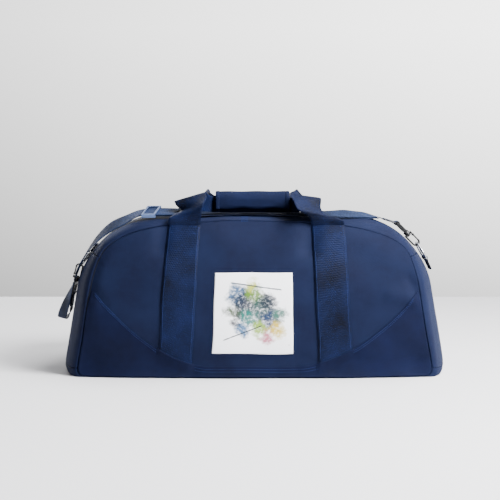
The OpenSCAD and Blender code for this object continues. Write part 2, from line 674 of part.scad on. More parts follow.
// On the hanging loop y counts from the left clip instead
function on_loop(k, lift, y, wide) = place(-1, k, lift, y + clip_y(-1), wide);
function past_tail(side, far) = let (p = eye_at(side) + tail_dir(side) * (tail_length + far))
    [[p[0], clip_y(side), p[1]], tilted(0)];
adjuster_mid = on_left(4.44, 6.9, 68, tilted(18));
before_adjuster = [past_tail(1, 0.8), past_tail(1, 9),
    on_right(5.14, 7.1, 94, tilted(14)), on_right(4.3, 6.8, 76, tilted(24)),
    on_right(3.68, 6.4, 63, tilted(26)), on_right(3.12, 5.4, 60, tilted(18)),
    on_right(2.38, 4.6, 67, tilted(8)), on_right(1.36, 3.8, 73, tilted(0)),
    on_left(0, 3.6, 75, tilted(0)), on_left(1.36, 3.8, 73, tilted(0)),
    on_left(2.38, 4.6, 67, tilted(8)), on_left(3.02, 5.8, 62, tilted(16)),
    on_left(3.7, 6.3, 64, tilted(18))];
after_adjuster = [on_left(5.34, 10.1, 72, tilted(18)), on_left(6.36, 10.6, 79, tilted(20)),
    on_left(7.6, 10.5, 86, tilted(20)), on_left(8.9, 7.6, 91, tilted(14)),
    on_left(10.26, 5.1, 92, tilted(8)), on_left(11.72, 4.2, 93, tilted(0)),
    on_left(12.94, 4.4, 93, twisted(6)), on_loop(13.76, 9, -57, twisted(17)),
    on_loop(14.48, 13, -54, twisted(28)), on_loop(15.12, 16.4, -48, twisted(33)),
    on_loop(15.56, 19.6, -39, twisted(33)), on_loop(15.76, 20.7, -27, twisted(33)),
    on_loop(15.74, 17.8, -14, twisted(26)), on_loop(15.46, 11.9, -5, twisted(12)),
    past_tail(-1, 7), past_tail(-1, 0.8)];
strap_route = concat(before_adjuster, [adjuster_mid], after_adjuster);
function heading(route, i) = unit(route[min(i + 1, len(route) - 1)][0] - route[max(i - 1, 0)][0]);
function width_dir(route, i) = let (t = heading(route, i), w = route[i][1]) unit(w - t * (w * t));
module ribbon(route, thick, width, lift = 0) {
    function row(i, side) = let (w = width_dir(route, i), up = cross(w, heading(route, i)))
        [for (s = [-1, 0, 1]) route[i][0] + w * s * width / 2 + up * (lift + side * thick / 2)];
    m = len(route);
    slab([for (i = [0:m - 1]) row(i, 1)], [for (i = [0:m - 1]) row(i, -1)]);
}
module shoulder_strap() color(strap_navy) ribbon(strap_route, strap_thick, strap_width);
// The doubled layer under the strap, from the right clip back to the adjuster's middle bar
adjuster_i = len(before_adjuster);
adjuster_bar = 3;
return_drop = strap_thick + 0.3;
module strap_return() {
    back = -heading(strap_route, adjuster_i) * (adjuster_bar / 2 + 0.4);
    part = concat([for (i = [1:adjuster_i - 1]) strap_route[i]],
        [[adjuster_mid[0] + back, adjuster_mid[1]]]);
    color(strap_navy) ribbon(part, strap_thick, strap_width, -return_drop);
}
// The frame's outer bars lie over the strap and its middle bar under it
module strap_adjuster() {
    t = -heading(strap_route, adjuster_i);
    w = width_dir(strap_route, adjuster_i);
    up = cross(t, w);
    p = adjuster_mid[0];
    inner = strap_width + 1.6;
    over = strap_thick / 2 + 0.25;
    color([0.5, 0.55, 0.62]) multmatrix([[t[0], w[0], up[0], p[0]], [t[1], w[1], up[1], p[1]],
        [t[2], w[2], up[2], p[2]]]) union() {
        for (s = [-1, 1])
            translate([-adjuster_length / 2, s > 0 ? inner / 2 : -inner / 2 - adjuster_bar, -over - 1.8])
                cube([adjuster_length, adjuster_bar, 2 * over + 3.6]);
        for (x = [-adjuster_length / 2, adjuster_length / 2 - adjuster_bar])
            translate([x, -inner / 2 - tiny, over]) cube([adjuster_bar, inner + 2 * tiny, 1.8]);
        translate([-adjuster_bar / 2, -inner / 2 - tiny, -over - 1.8])
            cube([adjuster_bar, inner + 2 * tiny, 1.8]);
    }
}

front_panel();
front_lower_panel();
back_panel();
back_lower_panel();
bottom_panel();
base_board();
top_gusset_front();
top_gusset_back();
end_gusset_left();
end_gusset_right();
seam_binding_front();
seam_binding_back();
zip_tape_front();
zip_tape_back();
zip_coil_front();
zip_coil_back();
zip_end_stops();
zip_slider_left();
zip_slider_right();
zip_pull_left();
zip_pull_right();
print_square();
front_web_left();
front_web_right();
back_web_left();
back_web_right();
handle_loop_front();
handle_loop_back();
grip_pad();
grip_loop_tape();
grip_flap();
grip_hook_tape();
ring_tab_left();
ring_tab_right();
d_ring_left();
d_ring_right();
hook_body_left();
hook_body_right();
hook_gate_left();
hook_gate_right();
hook_eye_left();
hook_eye_right();
strap_end_left();
strap_end_right();
shoulder_strap();
strap_adjuster();
strap_return();
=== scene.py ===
import math
import random

import bmesh
import bpy
import numpy as np
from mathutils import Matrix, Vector
from mathutils.bvhtree import BVHTree


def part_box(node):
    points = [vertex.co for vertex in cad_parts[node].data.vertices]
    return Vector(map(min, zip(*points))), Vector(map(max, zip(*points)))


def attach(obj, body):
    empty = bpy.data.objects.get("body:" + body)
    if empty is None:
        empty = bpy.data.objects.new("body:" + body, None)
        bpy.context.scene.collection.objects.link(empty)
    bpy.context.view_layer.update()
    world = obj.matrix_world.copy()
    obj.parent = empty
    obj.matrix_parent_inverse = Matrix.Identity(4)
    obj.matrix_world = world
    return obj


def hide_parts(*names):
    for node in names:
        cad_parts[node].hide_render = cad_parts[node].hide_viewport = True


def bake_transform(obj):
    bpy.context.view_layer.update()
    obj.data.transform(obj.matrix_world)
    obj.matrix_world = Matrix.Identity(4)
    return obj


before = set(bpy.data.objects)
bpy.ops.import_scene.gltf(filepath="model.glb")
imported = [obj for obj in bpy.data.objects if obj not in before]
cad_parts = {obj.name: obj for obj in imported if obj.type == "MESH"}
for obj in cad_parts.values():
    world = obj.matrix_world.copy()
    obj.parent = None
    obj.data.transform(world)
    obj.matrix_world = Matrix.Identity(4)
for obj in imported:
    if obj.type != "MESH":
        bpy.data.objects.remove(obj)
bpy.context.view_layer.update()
mm = 0.001

# Places in the photograph, in its own pixels: edges first, then features
imagePoints = {
    "leftEdge": (59, 312), "rightEdge": (441, 366), "topEdge": (250, 191), "bottomEdge": (250, 381),
    "printTopLeft": (214.7, 273.8), "printTopRight": (292.1, 273.5),
    "printBottomRight": (293.4, 354.2), "printBottomLeft": (211.7, 353.8),
    "leftWebFoot": (174.5, 345), "rightWebFoot": (336.5, 340),
    "lowerSeamMiddle": (260, 367), "lowerSeamLeft": (103, 300), "lowerSeamRight": (407.5, 304),
    "leftFoldTop": (191, 195), "rightFoldTop": (304, 194.5),
    "adjuster": (151, 208), "hookRight": (411.5, 238), "ringRight": (421, 250), "strapLoopTip": (59.5, 312),
}
photoSize = (500, 500)

cameraView = {
    "place": (-0.007, -2.0, 0.300),
    "pitch": 3.24,  # degrees below level
    "lens": 89.0,
    "sensor": 36.0,
}


def makeCamera():
    data = bpy.data.cameras.new("photoCamera")
    data.lens = cameraView["lens"]
    data.sensor_width = cameraView["sensor"]
    data.sensor_fit = "AUTO"
    data.clip_end = 50
    camera = bpy.data.objects.new("photoCamera", data)
    camera.location = cameraView["place"]
    camera.rotation_euler = (math.radians(90 - cameraView["pitch"]), 0, 0)
    bpy.context.scene.collection.objects.link(camera)
    bpy.context.scene.camera = camera
    bpy.context.view_layer.update()
    return camera


camera = makeCamera()
longSide = max(photoSize)


# Pixels of points in metres, as the photograph's frame counts them
def toPixel(points):
    local = np.array(camera.matrix_world.inverted())
    p = np.asarray(points, float).reshape(-1, 3)
    q = p @ local[:3, :3].T + local[:3, 3]
    scale = cameraView["lens"] / cameraView["sensor"] * longSide
    data = camera.data
    x = photoSize[0] / 2 - data.shift_x * longSide + q[:, 0] / -q[:, 2] * scale
    y = photoSize[1] / 2 + data.shift_y * longSide - q[:, 1] / -q[:, 2] * scale
    return np.stack([x, y], 1)


# Where the line of sight through a pixel meets a surface, or the place nearest to it
def onSurface(pixel, tree):
    data = camera.data
    ray = Vector((pixel[0] - photoSize[0] / 2 + data.shift_x * longSide,
                  photoSize[1] / 2 - pixel[1] + data.shift_y * longSide,
                  -longSide * data.lens / data.sensor_width))
    origin = camera.matrix_world.translation
    direction = (camera.matrix_world.to_3x3() @ ray).normalized()
    hit = tree.ray_cast(origin, direction)
    if hit[0] is not None:
        return hit[0]
    best = None
    for step in range(60):
        near = tree.find_nearest(origin + direction * (1.6 + step * 0.012))
        if best is None or near[3] < best[3]:
            best = near
    return best[0]


print("camera ready")


# A colour from its sRGB hex value
def linear(hexColour):
    parts = [int(hexColour[i:i + 2], 16) / 255 for i in (1, 3, 5)]
    return tuple(c / 12.92 if c <= 0.04045 else ((c + 0.055) / 1.055) ** 2.4 for c in parts) + (1.0,)


# Adds a node, sets or links its inputs, and gives the node or the output asked for
def addNode(tree, kind, inputs=None, out=None, **settings):
    node = tree.nodes.new(kind)
    for key, value in settings.items():
        setattr(node, key, value)
    for key, value in (inputs or {}).items():
        if isinstance(value, bpy.types.NodeSocket):
            tree.links.new(value, node.inputs[key])
        else:
            node.inputs[key].default_value = value
    return node if out is None else node.outputs[out]


# A material with one shader, whose even values are set on its own sockets
def startMaterial(name, values):
    material = bpy.data.materials.new(name)
    material.use_nodes = True
    tree = material.node_tree
    tree.nodes.clear()
    surface = addNode(tree, "ShaderNodeBsdfPrincipled", values)
    addNode(tree, "ShaderNodeOutputMaterial", {0: surface.outputs[0]})
    return material, tree, surface


# Joins what varies over a surface to its shader: its colour, how rough it is, and a relief in mm
def joinSurface(tree, surface, tone, height, strength, relief, rough=None):
    tree.links.new(tone, surface.inputs["Base Color"])
    if rough is not None:
        tree.links.new(rough, surface.inputs["Roughness"])
    bump = addNode(tree, "ShaderNodeBump", {"Height": height, "Strength": strength, "Distance": relief * mm})
    tree.links.new(bump.outputs[0], surface.inputs["Normal"])


waveShare = 0.314159  # a wave texture of this scale has one crest each metre
noiseRoughness = 0.55


# Polyester canvas, woven and coated: matt, with a faint sheen at grazing angles. Its thread is drawn a little
# coarser than the real one's 0.5 mm, so that it shows
def canvasFinish(name, colour, worn, threadPitch=1.5, roughness=0.74):
    material, tree, surface = startMaterial(name, {
        "Roughness": roughness, "Sheen Weight": 0.06, "Sheen Roughness": 0.4, "Sheen Tint": linear("#6E86C8"),
        "Specular IOR Level": 0.08})
    coords = addNode(tree, "ShaderNodeTexCoord").outputs
    warp, weft = (addNode(tree, "ShaderNodeTexWave", {
        "Vector": coords["UV"], "Scale": waveShare / (threadPitch * mm), "Distortion": 0.4, "Detail": 1.0,
        "Detail Scale": 1.5}, "Fac", bands_direction=axis) for axis in "XY")
    weave = addNode(tree, "ShaderNodeMath", {0: warp, 1: weft}, 0, operation="MULTIPLY")
    broad, fine, slub = (addNode(tree, "ShaderNodeTexNoise", {
        "Vector": coords[kind], "Scale": 1 / (size * mm), "Detail": detail, "Roughness": noiseRoughness}, 0)
        for kind, size, detail in (("Object", 70, 3.0), ("Object", 9, 5.0), ("UV", 2.2, 2.0)))
    tone = linear(colour)
    for pattern, low, high, share in ((broad, 0.35, 0.68, 1.0), (fine, 0.42, 0.75, 0.35),
                                      (slub, 0.35, 0.75, 0.3), (weave, 0.0, 1.0, 0.25)):
        patch = addNode(tree, "ShaderNodeMapRange", {0: pattern, 1: low, 2: high, 4: share}, 0)
        tone = addNode(tree, "ShaderNodeMix", {0: patch, 6: tone, 7: linear(worn)}, 2, data_type="RGBA")
    soft = addNode(tree, "ShaderNodeMath", {0: fine, 1: 0.9}, 0, operation="MULTIPLY")
    height = addNode(tree, "ShaderNodeMath", {0: weave, 1: 0.6, 2: soft}, 0, operation="MULTIPLY_ADD")
    joinSurface(tree, surface, tone, height, 0.35, 0.6)
    return material


# Ribbed polypropylene webbing: its cross ribs are in the mesh, and this gives the herringbone of its threads
def webbingFinish(name, colour, thread, ribPitch=3.4, shadedBetween=None, glint=(0.4, 0.7)):
    material, tree, surface = startMaterial(name, {
        "Roughness": 0.62, "Sheen Weight": 0.04, "Sheen Roughness": 0.35, "Sheen Tint": linear("#7F95D0"),
        "Specular IOR Level": 0.08})
    coords = addNode(tree, "ShaderNodeTexCoord").outputs
    across, along, twill = (addNode(tree, "ShaderNodeTexWave", {
        "Vector": coords["UV"], "Scale": waveShare / (pitch * mm)}, "Fac", bands_direction=axis)
        for axis, pitch in (("X", 1.7), ("Y", ribPitch), ("DIAGONAL", 2.6)))
    fine, broad = (addNode(tree, "ShaderNodeTexNoise", {
        "Vector": coords[kind], "Scale": 1 / (size * mm), "Detail": detail, "Roughness": noiseRoughness}, 0)
        for kind, size, detail in (("UV", 1.6, 2.0), ("Object", 45, 3.0)))
    # lighter thread flecks with a painted highlight: they sit at the rib crests, where the ribs catch the
    # light
    crossed = addNode(tree, "ShaderNodeMath", {0: across, 1: along}, 0, operation="MULTIPLY")
    shine = addNode(tree, "ShaderNodeMapRange", {0: fine, 1: glint[0], 2: glint[1], 4: 0.8}, 0)
    glintDots = addNode(tree, "ShaderNodeMath", {0: crossed, 1: shine}, 0, operation="MULTIPLY")
    clouds = addNode(tree, "ShaderNodeMapRange", {0: broad, 1: 0.3, 2: 0.75, 4: 0.3}, 0)
    tone = linear(colour)
    for share in (clouds, glintDots):
        tone = addNode(tree, "ShaderNodeMix", {0: share, 6: tone, 7: linear(thread)}, 2, data_type="RGBA")
    if shadedBetween:  # painted shade: plain dark colour between these x, in metres, where the grip covers the strap and shades it; its full tone past them
        x = addNode(tree, "ShaderNodeSeparateXYZ", {0: coords["Object"]}, 0)
        left, right = (addNode(tree, "ShaderNodeMapRange", {0: x, 1: a, 2: b}, 0) for a, b in shadedBetween)
        rubbedAndUnshaded = addNode(tree, "ShaderNodeMath", {0: right, 1: left}, 0, operation="MAXIMUM")
        tone = addNode(tree, "ShaderNodeMix", {0: rubbedAndUnshaded, 6: linear(colour), 7: tone}, 2, data_type="RGBA")
    ridges = addNode(tree, "ShaderNodeMath", {0: twill, 1: 0.5}, 0, operation="MULTIPLY")
    height = addNode(tree, "ShaderNodeMath", {0: across, 1: 0.5, 2: ridges}, 0, operation="MULTIPLY_ADD")
    joinSurface(tree, surface, tone, height, 0.5, 0.5)
    return material


# Moulded acetal and nylon: dark and smooth, with a fine spark-eroded grain that scatters its gloss
def mouldedFinish(name, colour):
    material, tree, surface = startMaterial(name, {"IOR": 1.48})
    coords = addNode(tree, "ShaderNodeTexCoord", None, "Object")
    grain, scuff = (addNode(tree, "ShaderNodeTexNoise", {
        "Vector": coords, "Scale": 1 / (size * mm), "Detail": detail, "Roughness": noiseRoughness}, 0)
        for size, detail in ((0.8, 3.0), (6, 4.0)))
    base = linear(colour)
    pale = tuple(min(1, c * 1.8 + 0.01) for c in base[:3]) + (1.0,)
    rubbedAndUnshaded = addNode(tree, "ShaderNodeMapRange", {0: scuff, 1: 0.5, 2: 0.8}, 0)
    tone = addNode(tree, "ShaderNodeMix", {0: rubbedAndUnshaded, 6: base, 7: pale}, 2, data_type="RGBA")
    rough = addNode(tree, "ShaderNodeMapRange", {0: grain, 1: 0.0, 2: 1.4}, 0)
    joinSurface(tree, surface, tone, grain, 0.15, 0.2, rough)
    return material


# Nickel-plated steel wire and zinc castings: bright, with fine draw marks
def platedFinish(name, colour, roughness=0.28):
    material, tree, surface = startMaterial(name, {"Metallic": 1.0})
    coords = addNode(tree, "ShaderNodeTexCoord", None, "Object")
    marks, cloud = (addNode(tree, "ShaderNodeTexNoise", {
        "Vector": coords, "Scale": 1 / (size * mm), "Detail": detail, "Roughness": noiseRoughness}, 0)
        for size, detail in ((1.2, 4.0), (14, 2.0)))
    base = linear(colour)
    dull = tuple(c * 0.7 for c in base[:3]) + (1.0,)
    dimmed = addNode(tree, "ShaderNodeMapRange", {0: cloud, 1: 0.35, 2: 0.7}, 0)
    tone = addNode(tree, "ShaderNodeMix", {0: dimmed, 6: base, 7: dull}, 2, data_type="RGBA")
    rough = addNode(tree, "ShaderNodeMath", {0: marks, 1: 0.22, 2: roughness - 0.1}, 0,
                    operation="MULTIPLY_ADD")
    joinSurface(tree, surface, tone, marks, 0.1, 0.2, rough)
    return material


# Print: loose watercolour washes on white film. Each wash has a place, a reach and a colour.
printDesign = {
    "film": "#FAFBFF", "drop": "#0F2E44",
    "washes": [
        ((0.30, 0.72), 0.13, "#0F4269"), ((0.40, 0.62), 0.15, "#051529"), ((0.52, 0.74), 0.11, "#52721D"),
        ((0.60, 0.55), 0.14, "#053735"), ((0.46, 0.44), 0.10, "#0D6259"), ((0.70, 0.66), 0.10, "#031425"),
        ((0.72, 0.42), 0.12, "#062448"), ((0.58, 0.31), 0.09, "#7F9D2E"), ((0.80, 0.30), 0.09, "#C0A631"),
        ((0.36, 0.30), 0.08, "#17517C"), ((0.68, 0.20), 0.07, "#AC5D72"), ((0.22, 0.52), 0.07, "#283C0F"),
        ((0.84, 0.50), 0.06, "#2C5C4F"), ((0.26, 0.40), 0.05, "#03091B"), ((0.48, 0.86), 0.05, "#ABAF39"),
    ],
    "strokes": [((0.12, 0.16), (0.62, 0.36), "#161E26"), ((0.20, 0.88), (0.86, 0.80), "#1D2D3C")],
}


# Transfer print on film: satin, with ragged soft washes, drops and thin strokes of watercolour
def printFinish():
    material, tree, surface = startMaterial("watercolourTransfer", {
        "Roughness": 0.46, "Specular IOR Level": 0.3})
    uv = addNode(tree, "ShaderNodeTexCoord", None, "UV")
    rag, bleed = (addNode(tree, "ShaderNodeTexNoise", {
        "Vector": uv, "Scale": scale, "Detail": detail, "Roughness": rough}, 0)
        for scale, detail, rough in ((7.0, 6.0, 0.65), (26.0, 4.0, 0.7)))
    speck = addNode(tree, "ShaderNodeTexVoronoi", {"Vector": uv, "Scale": 26.0}, "Distance")
    soaked = addNode(tree, "ShaderNodeMapRange", {0: bleed, 1: 0.2, 2: 0.52, 4: 0.95}, 0)
    tone = linear(printDesign["film"])
    for (u, v), reach, colour in printDesign["washes"]:
        gap = addNode(tree, "ShaderNodeVectorMath", {0: uv, 1: (u, v, 0)}, "Value", operation="DISTANCE")
        ragged = addNode(tree, "ShaderNodeMath", {0: rag, 1: 0.3, 2: gap}, 0, operation="MULTIPLY_ADD")
        edge = addNode(tree, "ShaderNodeMapRange", {0: ragged, 1: reach + 0.19, 2: reach + 0.12}, 0)
        wash = addNode(tree, "ShaderNodeMath", {0: edge, 1: soaked}, 0, operation="MULTIPLY")
        tone = addNode(tree, "ShaderNodeMix", {0: wash, 6: tone, 7: linear(colour)}, 2, data_type="RGBA")
    rounded = addNode(tree, "ShaderNodeMapRange", {0: speck, 1: 0.2, 2: 0.12, 4: 0.8}, 0)
    patch = addNode(tree, "ShaderNodeMapRange", {0: rag, 1: 0.56, 2: 0.62}, 0)
    drops = addNode(tree, "ShaderNodeMath", {0: rounded, 1: patch}, 0, operation="MULTIPLY")
    tone = addNode(tree, "ShaderNodeMix", {0: drops, 6: tone, 7: linear(printDesign["drop"])}, 2,
                   data_type="RGBA")
    along, up = addNode(tree, "ShaderNodeSeparateXYZ", {0: uv}).outputs[:2]
    for (u0, v0), (u1, v1), colour in printDesign["strokes"]:
        slope = (v1 - v0) / (u1 - u0)
        line = addNode(tree, "ShaderNodeMath", {0: along, 1: slope, 2: v0 - slope * u0}, 0,
                       operation="MULTIPLY_ADD")
        above = addNode(tree, "ShaderNodeMath", {0: up, 1: line}, 0, operation="SUBTRACT")
        off = addNode(tree, "ShaderNodeMath", {0: above}, 0, operation="ABSOLUTE")
        frayed = addNode(tree, "ShaderNodeMath", {0: bleed, 1: 0.014, 2: off}, 0, operation="MULTIPLY_ADD")
        stroke = addNode(tree, "ShaderNodeMapRange", {0: frayed, 1: 0.0165, 2: 0.011}, 0)
        for tip, inner in ((u0, u0 + 0.02), (u1, u1 - 0.02)):
            end = addNode(tree, "ShaderNodeMapRange", {0: along, 1: tip, 2: inner}, 0)
            stroke = addNode(tree, "ShaderNodeMath", {0: stroke, 1: end}, 0, operation="MULTIPLY")
        tone = addNode(tree, "ShaderNodeMix", {0: stroke, 6: tone, 7: linear(colour)}, 2, data_type="RGBA")
    joinSurface(tree, surface, tone, bleed, 0.08, 0.3)
    return material


finish = {
    "shell": canvasFinish("canvasNavy", "#080D23", "#0E162F"),
    # the lower panels: the shell's canvas painted darker, a painted shade for their down-facing slope
    "lower": canvasFinish("canvasNavyLowerShaded", "#05091E", "#080F2A"),
    "grip": canvasFinish("gripCanvas", "#080E22", "#0D1633", 1.3),
    "web": webbingFinish("handleWebbing", "#01030D", "#18295A", glint=(0.5, 0.68)),
    # the strap's middle, under the grip, is painted darker as shade
    "strap": webbingFinish("strapWebbing", "#04060F", "#415582", 2.6, ((-0.06, -0.13), (0.05, 0.12))),
    "tape": canvasFinish("zipTape", "#070A17", "#0C1224", 1.1),
    "binding": canvasFinish("seamBinding", "#040509", "#0A0D16", 1.2),
    "hookTape": canvasFinish("hookTape", "#040508", "#0A0D16", 0.9, 0.9),
    "thread": canvasFinish("sewingThread", "#0F1839", "#1E2C58", 0.8),
    "coil": mouldedFinish("coilNylon", "#0D152B"),
    "black": mouldedFinish("blackAcetal", "#0B0C0F"),
    "board": mouldedFinish("baseBoard", "#15161A"),
    "nickel": platedFinish("nickelWire", "#B9BCC2"),
    "adjuster": platedFinish("adjusterPlate", "#6C82B0", 0.42),
    "slider": mouldedFinish("sliderEnamel", "#131A2C"),
    "print": printFinish(),
}
print("finishes ready")


bag = {
    "halfLength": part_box("end_gusset_right")[1].x / mm,
    "height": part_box("top_gusset_front")[1].z / mm,
    "halfDepth": 150.0,
    "endLean": 21.0, "shoulderDrop": 107.0, "shoulderRun": 151.0,
    "seamDrop": 7.0, "crownFall": 10.0, "seamInBase": 22.0, "seamInSide": 46.0,
    "seamRise": 4.0, "cornerRound": 16.0,
    "bellyHeight": 105.0, "topFall": 38.0, "baseFall": 12.0, "endFall": 22.0,
    "smileLow": 20.0, "smileRise": 114.0, "smileFlat": 70.0, "leftLift": 8.0,
    "domeFlat": 0.35, "baseFlat": 0.88, "knee": 0.4,
}
crownEnd, shoulderEnd, sideEnd, cornerEnd, baseEnd = 4, 13, 18, 22, 30  # steps round half the outline
crossSeam = 10  # the step where the top gussets meet the end gussets
zipEnd = 9
randomSeed = 11


# 0 up to start, and 1 from start + over
def fadeIn(value, start, over):
    return np.clip((value - start) / over, 0, 1)


def curve(a, b, c, d, u):
    u = u[:, None]
    return a * (1 - u) ** 3 + b * 3 * u * (1 - u) ** 2 + c * 3 * u * u * (1 - u) + d * u ** 3


# Half of the bag's outline in the XZ plane at steps k from its top middle: middle line or panel seam
def outline(kind, k, sunk=0.0):
    k = np.atleast_1d(np.asarray(k, float))
    h, top, run = bag["halfLength"], bag["height"], bag["shoulderRun"]
    if kind == "mid":
        baseX, sideX = h - sunk, h - bag["endLean"] - sunk
        baseZ, rounding = sunk, bag["cornerRound"] - sunk
        topZ = armZ = top - sunk
        up, out = 50.0, 65.0
    else:
        baseX, sideX = h - bag["seamInBase"] - sunk, h - bag["seamInSide"] - sunk
        baseZ, rounding = bag["seamRise"] + sunk, bag["cornerRound"] - 4 - sunk
        topZ = top - bag["seamDrop"] - sunk
        armZ = topZ - bag["crownFall"]
        up, out = 55.0, 70.0
    armX = h - run
    low = np.array([baseX, baseZ + rounding])
    side = np.array([sideX, top - bag["shoulderDrop"]])
    arm = np.array([armX, armZ])
    level = armX / crownEnd
    slope = 2 * (topZ - armZ) / (armX - level)
    lean = (side - low) / np.linalg.norm(side - low)
    p1, p2 = side + lean * up, arm + np.array([out, -out * slope])
    x = level * k
    t = np.maximum(0, (x - level) / (armX - level))
    crown = np.stack([x, topZ - (topZ - armZ) * t * t], 1)
    shoulder = curve(arm, p2, p1, side, (k - crownEnd) / (shoulderEnd - crownEnd))
    flank = side + (low - side) * ((k - shoulderEnd) / (sideEnd - shoulderEnd))[:, None]
    a = np.radians(90 * (k - sideEnd) / (cornerEnd - sideEnd))
    corner = low + rounding * np.stack([np.cos(a) - 1, -np.sin(a)], 1)
    inward = 1 - (k - cornerEnd) / (baseEnd - cornerEnd)
    base = np.stack([(baseX - rounding) * inward, np.full_like(k, baseZ)], 1)
    where = [k <= crownEnd, k <= shoulderEnd, k <= sideEnd, k <= cornerEnd]
    return np.select([w[:, None] for w in where], [crown, shoulder, flank, corner], base)


def halfDepth(x, z):
    belly = bag["bellyHeight"]
    up = np.clip((z - belly) / (bag["height"] - belly), 0, 1)
    down = np.clip((belly - z) / belly, 0, 1)
    return (bag["halfDepth"] - bag["topFall"] * up ** 2.2 - bag["baseFall"] * down ** 2.2
            - bag["endFall"] * np.abs(x / bag["halfLength"]) ** 2.5)


# A place on the band round the bag: k steps round (below 0 on the left), j from -1 in front to 1 behind
def bandPoint(k, j, sunk=0.0):
    k, j = np.asarray(k, float), np.asarray(j, float)
    shape = np.broadcast(k, j).shape
    k, j = np.broadcast_to(k, shape).ravel(), np.broadcast_to(j, shape).ravel()
    mid, seam = outline("mid", np.abs(k), sunk), outline("seam", np.abs(k), sunk)
    turn = np.clip((np.abs(k) - sideEnd) / (cornerEnd - sideEnd), 0, 1)
    flat = bag["domeFlat"] + (bag["baseFlat"] - bag["domeFlat"]) * turn
    a = np.radians(90 * np.clip((np.abs(j) - bag["knee"]) / (1 - bag["knee"]), 0, 1))
    level = np.abs(j) <= bag["knee"]
    share = np.where(level, flat * j / bag["knee"], np.sign(j) * (flat + (1 - flat) * np.sin(a)))
    rise = np.where(level, 1.0, np.cos(a))
    p = seam + (mid - seam) * rise[:, None]
    y = (halfDepth(seam[:, 0], seam[:, 1]) - sunk) * share
    x = np.where(k < 0, -p[:, 0], p[:, 0])
    return np.stack([x, y, p[:, 1]], 1).reshape(shape + (3,))


# The step across the band at which its level part is y from the middle
def levelStep(k, y):
    seam = outline("seam", np.abs(np.atleast_1d(np.asarray(k, float))))
    return bag["knee"] * y / (bag["domeFlat"] * halfDepth(seam[:, 0], seam[:, 1]))


outlineSteps = outline("mid", np.arange(0, 31))


# A place lifted off the outline, as the straps' routes are written
def overOutline(k, lift):
    i = int(math.floor(k))
    step = outlineSteps[i + 1] - outlineSteps[i]
    t = step / np.linalg.norm(step)
    return outlineSteps[i] + step * (k - i) + np.array([-t[1], t[0]]) * lift


# Slack in the fabric: one smooth field moves every sewn layer, so that no layer meets another
slack = {"reach": 1.5, "waves": 14, "longest": 150.0, "shortest": 48.0,
         "zipFrom": 180, "zipWide": 45, "ringFrom": 225, "ringWide": 60, "ringCalm": 0.8, "floorFade": 25}
rng = random.Random(randomSeed)
slackWaves = []
for index in range(slack["waves"]):
    share = index / (slack["waves"] - 1)
    length = slack["longest"] * (slack["shortest"] / slack["longest"]) ** share
    heading = Vector([rng.gauss(0, 1) for axis in range(3)]).normalized()
    push = Vector([rng.gauss(0, 1) for axis in range(3)]).normalized()
    phase = rng.uniform(0, 6.28)
    slackWaves.append((np.array(heading) * 2 * math.pi / length, phase, np.array(push) * (length / 100)))

# Folds and hollows of the panels: from, to (x, z), how deep, how wide; front ones first
folds = {
    -1: [((86, 226), (84, 196), 5.5, 15), ((-139, 226), (-142, 198), 4.0, 12),
         ((122, 16), (150, 34), 2.0, 9), ((246, 118), (205, 128), -2.2, 11),
         ((236, 150), (262, 116), 2.4, 10), ((-96, 6), (-90, 22), 1.6, 8),
         ((-246, 130), (-228, 112), 2.0, 9), ((150, 214), (222, 176), -1.6, 22),
         ((-208, 60), (-150, 30), 1.8, 22), ((205, 60), (246, 26), 3.4, 24),
         ((64, 14), (70, 34), 1.4, 8), ((-30, 228), (30, 226), 1.6, 16)],
    1: [((96, 226), (92, 200), 4.0, 13), ((-96, 226), (-94, 200), 4.0, 13),
        ((-240, 128), (-206, 116), -2.0, 11), ((220, 60), (250, 30), 2.8, 22),
        ((-130, 18), (-160, 36), 1.8, 9)],
}


# The slack field at points p in mm, gone at the floor, at the zip and at the rings
def slackAt(p):
    flatPoints = p.reshape(-1, 3)
    total = np.zeros_like(flatPoints)
    for wave, phase, push in slackWaves:
        total += np.sin(flatPoints @ wave + phase)[:, None] * push
    total *= slack["reach"] / math.sqrt(slack["waves"])
    x, y, z = flatPoints.T
    calm = 1 - fadeIn(z, slack["zipFrom"], 30) * np.exp(-(y / slack["zipWide"]) ** 2)
    nearRing = fadeIn(np.abs(x), slack["ringFrom"], 25) * np.exp(-(y / slack["ringWide"]) ** 2)
    ends = 1 - slack["ringCalm"] * nearRing
    total *= (calm * ends)[:, None]
    total[:, 2] *= fadeIn(z, 0, slack["floorFade"])
    return total.reshape(p.shape)


# It spreads where it stands, and its ends turn in
stance = {"high": 30.0, "spread": 9.0, "settle": 0.8, "tuck": 8.0}


# Moves sewn layers by the slack field, into the panels' folds and to the way the bag stands
def settle(p):
    moved = p + slackAt(p)
    x, y, z = p[..., 0], p[..., 1], p[..., 2]
    for side, marks in folds.items():
        on = fadeIn(side * y, 60, 30)
        for (x0, z0), (x1, z1), depth, width in marks:
            dx, dz = x1 - x0, z1 - z0
            along = np.clip(((x - x0) * dx + (z - z0) * dz) / (dx ** 2 + dz ** 2), 0, 1)
            far = (x - x0 - along * dx) ** 2 + (z - z0 - along * dz) ** 2
            moved[..., 1] -= side * depth * on * np.exp(-far / width ** 2)
    low = np.clip(1 - z / stance["high"], 0, 1) ** 2
    moved[..., 1] += np.sign(y) * stance["spread"] * low * fadeIn(np.abs(y), 60, 40)
    moved[..., 2] -= z * stance["settle"] * low
    corner = fadeIn(np.abs(x), 230, 40) * fadeIn(np.abs(y), 40, 70)
    moved[..., 0] -= np.sign(x) * stance["tuck"] * corner
    return moved


# How far a turned-in edge lies under the face, at a distance from its fold
def rollIn(distance, radius):
    s = np.clip(radius - distance, 0, radius)
    return radius - np.sqrt(np.maximum(radius ** 2 - s ** 2, 0))


# Unit normals of a grid of points, all on one side
def gridNormals(p):
    du, dv = np.gradient(p, axis=1), np.gradient(p, axis=0)
    n = np.cross(du, dv)
    return n / np.maximum(np.linalg.norm(n, axis=2, keepdims=True), 1e-9)


